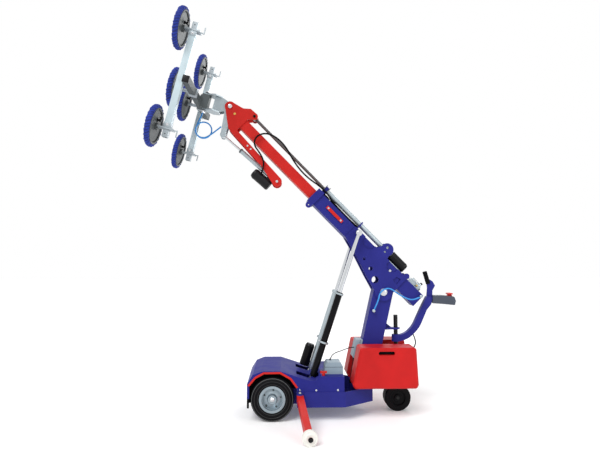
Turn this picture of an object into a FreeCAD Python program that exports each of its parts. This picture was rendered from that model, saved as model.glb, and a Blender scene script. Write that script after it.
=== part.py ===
import FreeCAD, Part
import math
import os
import re

import Sketcher

Vector = FreeCAD.Vector

# Driving dimensions in millimetres and degrees. X points forward to the suction head,
# Y to the machine's left and Z up from the floor.
SIZES = {
    # Front wheels
    "front_axle_x": 335,
    "tyre_diameter": 390,
    "tyre_width": 100,
    "track": 570,
    "rim_diameter": 236,
    "rim_seat_diameter": 203,
    "rim_width": 84,
    "rim_sheet": 5,
    "hub_diameter": 76,
    "axle_diameter": 30,
    "wheel_gap": 20,
    # Drive wheel and steering
    "wheelbase": 1195,
    "drive_diameter": 250,
    "drive_width": 120,
    "drive_hub_diameter": 168,
    "steering_shaft_diameter": 40,
    "steering_shaft_rise": 220,
    "fork_plate": 16,
    "drive_motor_diameter": 100,
    "drive_motor_length": 100,
    # Fits
    "running_fit": 0.05,
    "seat_gap": 0.3,
    # Chassis tray and covers
    "sheet": 6,
    "chassis_width": 670,
    "floor_height": 126,
    "tray_height": 134,
    "tray_nose_x": 500,
    "tray_front_x": 112,
    "tray_rear_x": -323,
    "tray_tail_x": -600,
    "tail_width": 300,
    "skirt": 20,
    "deck_height": 393,
    "deck_rear_x": -314,
    "deck_front_x": -112,
    "notch_rear_x": -58,
    "notch_front_x": 4,
    "notch_height": 360,
    "cowl_height": 444,
    "cowl_rear_x": 262,
    "cowl_front_x": 430,
    "brow_x": 510,
    "brow_height": 414,
    "nose_x": 560,
    "nose_shoulder": 335,
    "nose_bottom": 124,
    "arch_radius": 256,
    "arch_trim": 18,
    "trim_thickness": 4,
    "ballast_length": 190,
    "ballast_width": 560,
    "ballast_height": 80,
    # Column
    "pivot_x": -728,
    "pivot_height": 1132,
    "column_lean": 13,
    "column_depth": 190,
    "column_width": 144,
    "column_wall": 8,
    "pivot_pin_diameter": 50,
    "bracket_rise": 85,
    "bracket_plate": 14,
    "bearing_height": 300,
    "bearing_length": 100,
    # Boxes
    "battery_bottom": 281,
    "battery_top": 645,
    "battery_front_x": -412,
    "battery_rear_x": -990,
    "battery_inner": 120,
    "battery_width": 215,
    "battery_rake": 64,
    "battery_corner": 24,
    "battery_chamfer": 14,
    "hand_slot_length": 150,
    "hand_slot_height": 34,
    "hand_slot_depth": 30,
    "control_box_height": 195,
    "control_box_width": 150,
    "control_box_depth": 62,
    "charger_length": 168,
    "charger_width": 160,
    "charger_height": 106,
    "charger_taper": 22,
    "key_diameter": 30,
    "key_height": 40,
    # Outriggers
    "outrigger_hinge_x": 88,
    "outrigger_hinge_y": 385,
    "outrigger_hinge_height": 222,
    "outrigger_reach": 470,
    "outrigger_angle": 7,
    "outrigger_tube": 58,
    "outrigger_pin_diameter": 20,
    "roller_diameter": 125,
    "roller_width": 52,
    "roller_bore": 20,
    # Tiller
    "tiller_width": 60,
    "tiller_drop": 447,
    "grip_diameter": 44,
    "grip_length": 125,
    "grip_lean": 16,
    "pod_width": 92,
    "throttle_diameter": 46,
    "throttle_width": 34,
    # Boom, in its own frame: along the boom from the pivot, and square to it
    "boom_angle": 45.5,
    "boom_tail": -300,
    "boom_front": 1140,
    "boom_offset": 182,
    "boom_height": 140,
    "boom_width": 150,
    "boom_wall": 6,
    "side_plate": 12,
    "plate_overhang": 64,
    "plate_rise": 4,
    "plate_notch": 36,
    "knee_setback": 120,
    "knee_drop": 48,
    "pivot_lobe_diameter": 172,
    "ear_along": 263,
    "ear_offset": 316,
    "ear_diameter": 124,
    "rear_lug_along": -52,
    "rear_lug_offset": 268,
    "rear_lug_diameter": 54,
    "lift_pin_along": 576,
    "lift_pin_offset": 224,
    "lift_pin_diameter": 26,
    "collar_length": 60,
    "collar_wall": 13,
    "collar_plate": 12,
    "collar_lug_drop": 34,
    "guide_gap": 36,
    "guide_width": 124,
    "telescope_offset": 311,
    "telescope_tube_diameter": 50,
    "telescope_tube_front": 1114,
    "telescope_rod_diameter": 30,
    "telescope_motor_diameter": 104,
    "telescope_motor_rear": 0,
    "telescope_motor_front": 190,
    "vacuum_length": 125,
    "vacuum_rear": -232,
    "vacuum_width": 92,
    "vacuum_height": 46,
    # Inner boom and its head plates
    "inner_rear": 800,
    "inner_front": 2260,
    "inner_height": 100,
    "inner_width": 110,
    "inner_wall": 5,
    "slider_length": 60,
    "head_plate": 10,
    "head_root_setback": 215,
    "tip_along": 2347,
    "tip_offset": 208,
    "tip_diameter": 104,
    "tip_pin_diameter": 30,
    "rod_pin_along": 2107,
    "rod_pin_offset": 311,
    "rod_pin_diameter": 24,
    "rod_lug_diameter": 68,
    "lobe_along": 1490,
    "lobe_offset": 17,
    "lobe_diameter": 96,
    "lobe_pin_diameter": 25,
    # Lift actuators
    "lift_base_x": -29,
    "lift_base_height": 330,
    "lift_spread": 150,
    "lift_tube_diameter": 62,
    "lift_tube_end": 850,
    "lift_rod_diameter": 36,
    "lift_rod_start": 690,
    "lift_eye_diameter": 60,
    "lift_eye_width": 50,
    "lift_neck": 42,
    "lift_neck_diameter": 44,
    "lift_lug": 12,
    "lift_gear_width": 54,
    "lift_motor_diameter": 94,
    "lift_motor_start": 45,
    "lift_motor_length": 220,
    "lift_motor_offset": 81,
    # Tilt actuator
    "tilt_tube_diameter": 44,
    "tilt_rod_show": 240,
    "tilt_rod_diameter": 24,
    "tilt_rod_start": 150,
    "tilt_eye_diameter": 50,
    "tilt_motor_diameter": 104,
    "tilt_motor_start": 32,
    "tilt_motor_length": 210,
    "tilt_motor_offset": 78,
    # Head, in its own frame: out along the cups' axis from the tip pin, and up along the beams
    "head_elevation": 14,
    "lever_length": 284,
    "lever_eye_diameter": 60,
    "lever_eye_width": 60,
    "yoke_spread": 72,
    "yoke_cheek": 10,
    "yoke_height": 140,
    "yoke_plate": 12,
    "pan_axis": 258,
    "pan_stud_diameter": 30,
    "pan_block_depth": 72,
    "pan_block_width": 90,
    "rotor_face": 300,
    "rotor_diameter": 136,
    "rotor_plate": 12,
    "rotor_shaft_diameter": 40,
    "rotor_shaft_length": 55,
    "cross_tube_size": 60,
    "cross_tube_length": 1120,
    "tube_wall": 4,
    "beam_spread": 1000,
    "beam_length": 910,
    "extension_length": 440,
    "extension_show": 85,
    "arm_plate": 14,
    "arm_width": 76,
    "arm_reach": 64,
    "inner_cup_spread": 440,
    "stem_diameter": 32,
    "cup_face": 545,
    "cup_diameter": 340,
    "cup_plate": 8,
    "cup_boss_diameter": 64,
    "cup_back": 34,
    "cover_diameter": 384,
    "cover_depth": 52,
    "cover_hem_diameter": 306,
    "cover_crown": 12,
    # Hoses and cables
    "vacuum_hose_diameter": 14,
    "hose_port_diameter": 26,
    "hose_side": 112,
    "tail_port_along": -278,
    "tail_port_offset": 225,
    "column_port_x": -625,
    "column_port_height": 956,
    "boom_cable_diameter": 16,
    "tiller_cable_diameter": 12,
    "charger_cable_diameter": 8,
}

doc = FreeCAD.newDocument("glass_panel_lifter")
sheet = doc.addObject("Spreadsheet::Sheet", "sizes")
for row, (alias, number) in enumerate(SIZES.items(), start=1):
    sheet.set(f"A{row}", alias)
    sheet.set(f"B{row}", str(number))
    sheet.setAlias(f"B{row}", alias)
doc.recompute()

nodes = []


def size(alias):
    """The present value of one driving dimension."""
    return float(sheet.get(alias))


def bound(formula):
    """A formula of plain size names, rewritten to read those sizes from the sheet."""
    def cell(match):
        word = match.group()
        return f"sizes.{word}" if word in SIZES else word
    return re.sub(r"[a-z_]+", cell, formula)


def node(label, feature, place=None):
    """Name a finished sub-part and put it in its place, unless its own sizes already do."""
    feature.Label = label
    if place:
        feature.Placement = place
    nodes.append(feature)
    return feature


def frame(x, y, z, rise=0.0):
    """A place whose own X axis rises by the given angle in the machine's middle plane."""
    return FreeCAD.Placement(Vector(x, y, z), FreeCAD.Rotation(Vector(0, 1, 0), -rise))


def sketch_on(body, plane):
    sketch = body.newObject("Sketcher::SketchObject", "sketch")
    support = next(item for item in body.Origin.OriginFeatures if item.Role == plane)
    sketch.AttachmentSupport = [(support, "")]
    sketch.MapMode = "FlatFace"
    return sketch


def fix_point(sketch, element, end, x, y):
    """Hold one point of a sketch at the place that two formulas give."""
    for kind, formula in (("DistanceX", x), ("DistanceY", y)):
        index = sketch.addConstraint(Sketcher.Constraint(kind, -1, 1, element, end, 1.0))
        sketch.setExpression(f"Constraints[{index}]", bound(formula))


def draw_polygon(sketch, outline):
    count = len(outline)
    start = [Vector(100 * math.cos(math.tau * i / count), 100 * math.sin(math.tau * i / count), 0)
             for i in range(count)]
    for i in range(count):
        sketch.addGeometry(Part.LineSegment(start[i], start[(i + 1) % count]), False)
    for i in range(count):
        sketch.addConstraint(Sketcher.Constraint("Coincident", i, 2, (i + 1) % count, 1))
    for i, (x, y) in enumerate(outline):
        fix_point(sketch, i, 1, x, y)


def draw_circles(sketch, circles):
    for x, y, diameter in circles:
        index = sketch.addGeometry(Part.Circle(Vector(0, 0, 0), Vector(0, 0, 1), 10), False)
        fix_point(sketch, index, 3, x, y)
        held = sketch.addConstraint(Sketcher.Constraint("Diameter", index, 20.0))
        sketch.setExpression(f"Constraints[{held}]", bound(diameter))


def pad(body, sketch, length):
    feature = body.newObject("PartDesign::Pad", "pad")
    feature.Profile = sketch
    feature.SideType = "Symmetric"
    feature.setExpression("Length", bound(length))
    return feature


def corner_edges(feature, sketch, corners):
    """Names of the straight edges that stand square on the given corners of a sketch."""
    points = [sketch.getPoint(corner, 1) for corner in corners]
    back = sketch.Placement.inverse()
    names = []
    for number, edge in enumerate(feature.Shape.Edges, start=1):
        ends = [back.multVec(vertex.Point) for vertex in edge.Vertexes]
        for point in points:
            if len(ends) == 2 and all(math.hypot(e.x - point.x, e.y - point.y) < 1e-4 for e in ends):
                names.append(f"Edge{number}")
    return names


def plate(outline, thickness, plane="XZ_Plane", rounds=(), lobes=(), holes=(), windows=()):
    """A flat plate about its sketch plane: an outline with some corners rounded, round lobes
    added, and round holes and cornered windows cut right through."""
    body = doc.addObject("PartDesign::Body", "plate")
    profile = sketch_on(body, plane)
    draw_polygon(profile, outline)
    tip = pad(body, profile, thickness)
    for radius, corners in rounds:
        doc.recompute()
        fillet = body.newObject("PartDesign::Fillet", "round")
        fillet.Base = (tip, corner_edges(tip, profile, corners))
        fillet.setExpression("Radius", bound(radius))
        tip = fillet
    for lobe in lobes:
        disc = sketch_on(body, plane)
        draw_circles(disc, [lobe])
        tip = pad(body, disc, thickness)
    cuts = []
    if holes:
        cuts.append((draw_circles, holes))
    for window in windows:
        cuts.append((draw_polygon, window))
    for draw, shape in cuts:
        opening = sketch_on(body, plane)
        draw(opening, shape)
        pocket = body.newObject("PartDesign::Pocket", "opening")
        pocket.Profile = opening
        pocket.SideType = "Symmetric"
        pocket.setExpression("Length", bound(f"2 * ({thickness})"))
        tip = pocket
    body.Tip = tip
    return body


def turned(outline):
    """A turned piece: a profile of (radius, along) points spun about its own Y axis."""
    body = doc.addObject("PartDesign::Body", "turned")
    profile = sketch_on(body, "XY_Plane")
    draw_polygon(profile, outline)
    spin = body.newObject("PartDesign::Revolution", "spin")
    spin.Profile = profile
    spin.ReferenceAxis = (profile, ["V_Axis"])
    spin.Angle = 360
    body.Tip = spin
    return body


def box(lengths, centre=("0", "0", "0")):
    """A block of the given lengths along X, Y and Z about its centre."""
    piece = doc.addObject("Part::Box", "block")
    for side, formula in zip(("Length", "Width", "Height"), lengths):
        piece.setExpression(side, bound(formula))
    for axis, formula, middle in zip("xyz", lengths, centre):
        piece.setExpression(f"Placement.Base.{axis}", bound(f"{middle} - ({formula}) / 2"))
    return piece


TURN = {
    "x": FreeCAD.Rotation(Vector(0, 1, 0), 90),
    "y": FreeCAD.Rotation(Vector(1, 0, 0), -90),
    "z": FreeCAD.Rotation(),
}


def bar(diameter, length, centre=("0", "0", "0"), axis="y"):
    """A round bar about its centre, along one axis."""
    piece = doc.addObject("Part::Cylinder", "bar")
    piece.Placement.Rotation = TURN[axis]
    piece.setExpression("Radius", bound(f"({diameter}) / 2"))
    piece.setExpression("Height", bound(length))
    for name, middle in zip("xyz", centre):
        start = f"{middle} - ({length}) / 2" if name == axis else middle
        piece.setExpression(f"Placement.Base.{name}", bound(start))
    return piece


def fuse(*pieces):
    joined = doc.addObject("Part::MultiFuse", "joined")
    joined.Shapes = list(pieces)
    return joined


def cut(base, *tools):
    for tool in tools:
        trimmed = doc.addObject("Part::Cut", "trimmed")
        trimmed.Base = base
        trimmed.Tool = tool
        base = trimmed
    return base


def group(*pieces):
    gathered = doc.addObject("Part::Compound", "gathered")
    gathered.Links = list(pieces)
    return gathered


def pair(piece):
    """A piece and its mirror image on the other side of the machine's middle plane."""
    twin = doc.addObject("Part::Mirroring", "twin")
    twin.Source = piece
    twin.Normal = Vector(0, 1, 0)
    return group(piece, twin)


def square_tube(height, width, wall, length, centre=("0", "0", "0")):
    """A rectangular tube along X, open at both ends."""
    outer = box((length, width, height), centre)
    inner = box((f"({length}) * 2", f"{width} - 2 * {wall}", f"{height} - 2 * {wall}"), centre)
    return cut(outer, inner)


def both_sides(points):
    """A plan outline from its left half."""
    return points + [(x, f"-({y})") for x, y in reversed(points)]


def hose(label, points, diameter):
    """A flexible line: straight runs joined by tangent arcs, each as large as its runs allow."""
    edges = []
    radii = []
    start = points[0]
    for before, corner, after in zip(points, points[1:], points[2:]):
        back = before - corner
        ahead = after - corner
        turn = math.pi - back.getAngle(ahead)
        tangent = 0.45 * min(back.Length, ahead.Length)
        radius = tangent / math.tan(turn / 2)
        enter = corner + back.normalize() * tangent
        leave = corner + ahead.normalize() * tangent
        inward = (enter + leave) * 0.5 - corner
        middle = corner + inward.normalize() * (math.hypot(radius, tangent) - radius)
        edges.append(Part.LineSegment(start, enter).toShape())
        edges.append(Part.Arc(enter, middle, leave).toShape())
        radii.append(radius)
        start = leave
    edges.append(Part.LineSegment(start, points[-1]).toShape())
    path = Part.Wire(edges)
    section = Part.Wire(Part.makeCircle(diameter / 2, points[0], points[1] - points[0]))
    shell = Part.BRepOffsetAPI.MakePipeShell(path)
    shell.add(section)
    shell.build()
    shell.makeSolid()
    solid = shell.shape()
    expected = path.Length * math.pi * diameter ** 2 / 4
    spots = path.discretize(Number=int(path.Length / diameter) * 2)
    apart = 8
    gaps = [first.distanceToPoint(second) for i, first in enumerate(spots) for second in spots[i + apart:]]
    print(f"{label}: length {path.Length:.0f}, least radius {min(radii) / diameter:.1f} diameters,"
          f" volume ratio {solid.Volume / expected:.4f}, least gap to itself {min(gaps) - diameter:.1f}")
    feature = doc.addObject("Part::Feature", "hose")
    feature.Shape = solid
    return node(label, feature)


# Heights and places that several pieces share
TRAY_TOP = "(floor_height + tray_height)"
AXLE_HEIGHT = "(tyre_diameter / 2)"
NOSE_HALF = "((track - tyre_width) / 2 - wheel_gap)"
COVER_HALF = "(chassis_width / 2 - sheet)"
DRIVE_X = "(front_axle_x - wheelbase)"
COLUMN_BASE = "(floor_height + sheet)"
COLUMN_FOOT_X = f"(pivot_x + tan(column_lean) * (pivot_height - {COLUMN_BASE}))"
COLUMN_HALF = "(column_depth / 2 / cos(column_lean))"
TILLER_ROOT = "(pivot_height - tiller_drop)"
BRACKET_HEIGHT = f"({TILLER_ROOT} + bracket_rise)"
PLATE_MIDDLE = "(boom_width / 2 + side_plate / 2)"
HEAD_PLATE_MIDDLE = "(inner_width / 2 + head_plate / 2)"

# Angles round the wheel centre of the folded arch's corners
ARCH_ANGLES = (30, 52, 72, 107, 132, 155)


def arch(radius):
    """Corners of the folded wheel arch at one distance from the wheel centre, front to rear."""
    return [(f"front_axle_x + ({radius}) * cos({angle})", f"{AXLE_HEIGHT} + ({radius}) * sin({angle})")
            for angle in ARCH_ANGLES]


def make_chassis():
    outline = both_sides([
        ("tray_nose_x", NOSE_HALF),
        ("tray_front_x", NOSE_HALF),
        ("tray_front_x", "chassis_width / 2"),
        ("tray_rear_x", "chassis_width / 2"),
        ("tray_tail_x", "tail_width / 2"),
    ])
    hollow = both_sides([
        ("tray_nose_x - sheet", f"{NOSE_HALF} - sheet"),
        ("tray_front_x - sheet", f"{NOSE_HALF} - sheet"),
        ("tray_front_x - sheet", "chassis_width / 2 - sheet"),
        ("tray_rear_x", "chassis_width / 2 - sheet"),
        ("tray_tail_x + sheet", "tail_width / 2 - sheet"),
    ])
    shell = plate(outline, "tray_height", "XY_Plane")
    inside = plate(hollow, "tray_height", "XY_Plane")
    inside.setExpression("Placement.Base.z", bound("sheet"))
    middle = "(floor_height + tray_height / 2)"
    axle_hole = bar("axle_diameter + 2 * running_fit", "2 * track",
                    ("front_axle_x", "0", f"{AXLE_HEIGHT} - {middle}"))
    column_slot = box(("4 * sheet", "column_width + 2 * seat_gap", "2 * tray_height"),
                      ("tray_tail_x", "0", f"{COLUMN_BASE} - {middle} + tray_height"))
    pieces = [cut(shell, inside, axle_hole, column_slot)]
    lug_side = "(lift_eye_width / 2 + seat_gap + lift_lug / 2)"
    lug_outline = [
        ("lift_base_x + lift_eye_diameter", f"{COLUMN_BASE} - {middle}"),
        ("lift_base_x + lift_eye_diameter / 2", f"lift_base_height - {middle}"),
        ("lift_base_x - lift_eye_diameter / 2", f"lift_base_height - {middle}"),
        ("lift_base_x - lift_eye_diameter", f"{COLUMN_BASE} - {middle}"),
    ]
    lug_centre = ("lift_base_x", f"lift_base_height - {middle}")
    for side in ("", "-"):
        for place in ("+", "-"):
            lug = plate(lug_outline, "lift_lug", lobes=[lug_centre + ("lift_eye_diameter",)],
                        holes=[lug_centre + ("lift_pin_diameter + 2 * running_fit",)])
            lug.setExpression("Placement.Base.y", bound(f"{side}(lift_spread {place} {lug_side})"))
            pieces.append(lug)
        arm_length = "(outrigger_hinge_y - chassis_width / 2)"
        for level in ("+", "-"):
            hinge_z = (f"outrigger_hinge_height - {middle}"
                       f" {level} (outrigger_tube / 2 + seat_gap + sheet)")
            ear = fuse(box(("outrigger_tube", arm_length, "2 * sheet"),
                           ("outrigger_hinge_x", f"{side}(chassis_width / 2 + {arm_length} / 2)", hinge_z)),
                       bar("outrigger_tube", "2 * sheet",
                           ("outrigger_hinge_x", f"{side}outrigger_hinge_y", hinge_z), "z"))
            hole = bar("outrigger_pin_diameter + 2 * running_fit", "4 * sheet",
                       ("outrigger_hinge_x", f"{side}outrigger_hinge_y", hinge_z), "z")
            pieces.append(cut(ear, hole))
        shelf_inner = "column_width / 2 + sheet"
        shelf_width = "(tail_width / 2 - column_width / 2)"
        shelf_height = "(battery_bottom - floor_height - tray_height)"
        pieces.append(box(("column_depth", shelf_width, shelf_height),
                          ("tray_tail_x + column_depth / 2", f"{side}({shelf_inner} + {shelf_width} / 2)",
                           f"tray_height / 2 + {shelf_height} / 2")))
    tray = fuse(*pieces)
    node("chassis_tray", tray, frame(0, 0, size("floor_height") + size("tray_height") / 2))

    ballast = box(("ballast_length", "ballast_width", "ballast_height"),
                  ("tray_rear_x + sheet + ballast_length / 2", "0", f"{COLUMN_BASE} + ballast_height / 2"))
    node("ballast_slab", ballast)
    axle_length = "(track + rim_width)"
    node("front_axle", bar("axle_diameter", axle_length, ("front_axle_x", "0", AXLE_HEIGHT)))


def make_cover():
    skirt_low = f"{TRAY_TOP} - skirt"
    outline = [
        ("deck_rear_x", skirt_low),
        ("deck_rear_x", "deck_height"),
        ("deck_front_x", "deck_height"),
        ("notch_rear_x", "notch_height"),
        ("notch_front_x", "notch_height"),
        ("cowl_rear_x", "cowl_height"),
        ("cowl_front_x", "cowl_height"),
        ("brow_x", "brow_height"),
        ("nose_x", "nose_shoulder"),
        ("nose_x", "nose_bottom"),
        ("tray_front_x - sheet", "nose_bottom"),
        ("tray_front_x - sheet", skirt_low),
    ]
    hollow = [
        ("deck_rear_x + sheet", "nose_bottom - sheet"),
        ("deck_rear_x + sheet", "deck_height - sheet"),
        ("deck_front_x - sheet / 3", "deck_height - sheet"),
        ("notch_rear_x - sheet / 3", "notch_height - sheet"),
        ("notch_front_x + sheet / 6", "notch_height - sheet"),
        ("cowl_rear_x + sheet / 6", "cowl_height - sheet"),
        ("cowl_front_x - sheet / 6", "cowl_height - sheet"),
        ("brow_x - sheet * 2 / 3", "brow_height - sheet"),
        ("nose_x - sheet", "nose_shoulder - sheet / 3"),
        ("nose_x - sheet", "nose_bottom - sheet"),
    ]
    opening = arch("arch_radius - arch_trim") + [
        ("tray_front_x - sheet", TRAY_TOP),
        ("tray_front_x - sheet", "nose_bottom - sheet"),
        ("front_axle_x + (arch_radius - arch_trim) * cos(30)", "nose_bottom - sheet"),
    ]
    slots = []
    for side in ("", "-"):
        lengths = ("2.2 * lift_motor_diameter", "lift_motor_diameter + 2 * wheel_gap",
                   "2 * lift_motor_diameter")
        middle = ("lift_base_x + lift_motor_offset / 2", f"{side}lift_spread", "notch_height")
        slots.append(box(lengths, middle))
    cover = cut(plate(outline, f"2 * {COVER_HALF}"), plate(hollow, f"2 * {COVER_HALF} - 2 * sheet"),
                plate(opening, "2 * chassis_width"), *slots)
    node("body_cover", cover)

    strip = plate(arch("arch_radius") + arch("arch_radius - arch_trim")[::-1], "trim_thickness")
    strip.setExpression("Placement.Base.y", bound(f"{COVER_HALF} + trim_thickness / 2"))
    node("arch_trims", pair(strip))


def make_wheels():
    seat = "rim_seat_diameter / 2"
    flange = "rim_diameter / 2"
    edge = "rim_width / 2"
    rim_outline = [
        ("axle_diameter / 2 + running_fit", f"-{edge}"),
        ("hub_diameter / 2", f"-{edge}"),
        ("hub_diameter / 2", "2 * rim_sheet"),
        (f"{seat} - 3 * rim_sheet", "0"),
        (f"{seat} - rim_sheet", "0"),
        (f"{seat} - rim_sheet", f"-{edge}"),
        (flange, f"-{edge}"),
        (flange, f"rim_sheet - {edge}"),
        (seat, f"rim_sheet - {edge}"),
        (seat, f"{edge} - rim_sheet"),
        (flange, f"{edge} - rim_sheet"),
        (flange, edge),
        (f"{seat} - rim_sheet", edge),
        (f"{seat} - rim_sheet", "rim_sheet"),
        (f"{seat} - 3 * rim_sheet", "rim_sheet"),
        ("hub_diameter / 2 + 2 * rim_sheet", "3 * rim_sheet"),
        ("hub_diameter / 2", edge),
        ("axle_diameter / 2 + running_fit", edge),
    ]
    tread = "tyre_diameter / 2"
    half = "tyre_width / 2"
    wall = "(tyre_diameter - rim_diameter) / 2"
    right_half = [
        (f"{seat} + seat_gap", f"{edge} - rim_sheet - seat_gap"),
        (f"{flange} + seat_gap", f"{edge} - rim_sheet - seat_gap"),
        (f"{flange} + {wall} * 0.08", f"{half} * 0.86"),
        (f"{flange} + {wall} * 0.35", half),
        (f"{flange} + {wall} * 0.66", f"{half} * 0.97"),
        (f"{tread} - {wall} * 0.06", f"{half} * 0.74"),
        (tread, f"{half} * 0.4"),
    ]
    tyre_outline = right_half + [(r, f"-({y})") for r, y in reversed(right_half)]
    for label, side, turn in (("left", 1, 0), ("right", -1, 180)):
        centre = Vector(size("front_axle_x"), side * size("track") / 2, size("tyre_diameter") / 2)
        place = FreeCAD.Placement(centre, FreeCAD.Rotation(Vector(0, 0, 1), turn))
        node(f"rim_{label}", turned(rim_outline), place)
        node(f"tyre_{label}", turned(tyre_outline), place)


def hose_port(width, x, z):
    """A round hose socket that stands out from the left face of a piece of the given width."""
    reach = f"(hose_side + vacuum_hose_diameter - ({width}) / 2)"
    return bar("hose_port_diameter", reach, (x, f"({width}) / 2 + {reach} / 2", z))


def make_column():
    outline = [
        (f"{COLUMN_FOOT_X} + {COLUMN_HALF}", COLUMN_BASE),
        (f"pivot_x + {COLUMN_HALF}", "pivot_height"),
        (f"pivot_x - {COLUMN_HALF}", "pivot_height"),
        (f"{COLUMN_FOOT_X} - {COLUMN_HALF}", COLUMN_BASE),
    ]
    cap_height = "(pivot_height - column_depth * 0.55)"
    cap_x = f"(pivot_x + tan(column_lean) * (pivot_height - {cap_height}))"
    hollow = [
        (f"{COLUMN_FOOT_X} + {COLUMN_HALF} - column_wall", COLUMN_BASE),
        (f"{cap_x} + {COLUMN_HALF} - column_wall", cap_height),
        (f"{cap_x} - {COLUMN_HALF} + column_wall", cap_height),
        (f"{COLUMN_FOOT_X} - {COLUMN_HALF} + column_wall", COLUMN_BASE),
    ]
    pivot = ("pivot_x", "0", "pivot_height")
    post = fuse(plate(outline, "column_width"), bar("column_depth", "column_width", pivot))
    pieces = [cut(post, plate(hollow, "column_width - 2 * column_wall"),
                  bar("pivot_pin_diameter + 2 * running_fit", "2 * column_width", pivot))]

    shaft_boss = "(2 * steering_shaft_diameter)"
    reach = f"(pivot_x - {DRIVE_X} + column_depth)"
    wing_end = "(pivot_x + column_depth / 4)"
    shaft_hole = bar("steering_shaft_diameter + 2 * running_fit", "pivot_height",
                     (DRIVE_X, "0", "pivot_height / 2"), "z")
    wing = plate([(DRIVE_X, f"{shaft_boss} / 2"), (wing_end, "column_width / 2"),
                  (wing_end, "-column_width / 2"), (DRIVE_X, f"-{shaft_boss} / 2")],
                 "bracket_plate", "XY_Plane", lobes=[(DRIVE_X, "0", shaft_boss)])
    wing.setExpression("Placement.Base.z", bound(f"{BRACKET_HEIGHT} + bracket_plate / 2"))
    gusset = plate([(f"{DRIVE_X} + {shaft_boss} / 2", f"{BRACKET_HEIGHT} + bracket_plate"),
                    (wing_end, f"{BRACKET_HEIGHT} + bracket_plate"),
                    (wing_end, f"{BRACKET_HEIGHT} + 2 * bracket_plate + column_depth / 2")],
                   "bracket_plate")
    bearing_middle = "(bearing_height + bearing_length / 2)"
    bearing = fuse(box((reach, shaft_boss, "bearing_length"),
                       (f"{DRIVE_X} + {reach} / 2", "0", bearing_middle)),
                   bar("2.6 * steering_shaft_diameter", "bearing_length",
                       (DRIVE_X, "0", bearing_middle), "z"))
    for bracket in (fuse(wing, gusset), bearing):
        pieces.append(cut(bracket, post, shaft_hole))
    stay_height = "(battery_top - battery_rake)"
    for side in ("", "-"):
        gap = "(battery_inner - column_width / 2)"
        pieces.append(box(("column_depth / 3", gap, "battery_rake"),
                          (f"pivot_x + tan(column_lean) * (pivot_height - {stay_height})",
                           f"{side}(column_width / 2 + {gap} / 2)", stay_height)))
    pieces.append(hose_port("column_width", "column_port_x", "column_port_height"))
    node("column", fuse(*pieces))

    pins = []
    head = "(2 * side_plate)"
    pins.append(bar("pivot_pin_diameter", "boom_width + 2 * side_plate + 2 * seat_gap", pivot))
    for side in ("", "-"):
        cap_y = f"{side}({PLATE_MIDDLE} + side_plate * 3 / 4 + seat_gap)"
        pins.append(bar("1.4 * pivot_pin_diameter", "side_plate / 2", ("pivot_x", cap_y, "pivot_height")))
        pins.append(bar("lift_pin_diameter", f"lift_eye_width + 2 * lift_lug + {head}",
                        ("lift_base_x", f"{side}lift_spread", "lift_base_height")))
        pins.append(bar("outrigger_pin_diameter", "outrigger_tube + 6 * sheet",
                        ("outrigger_hinge_x", f"{side}outrigger_hinge_y", "outrigger_hinge_height"), "z"))
    node("pivot_pins", fuse(*pins))


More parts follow.
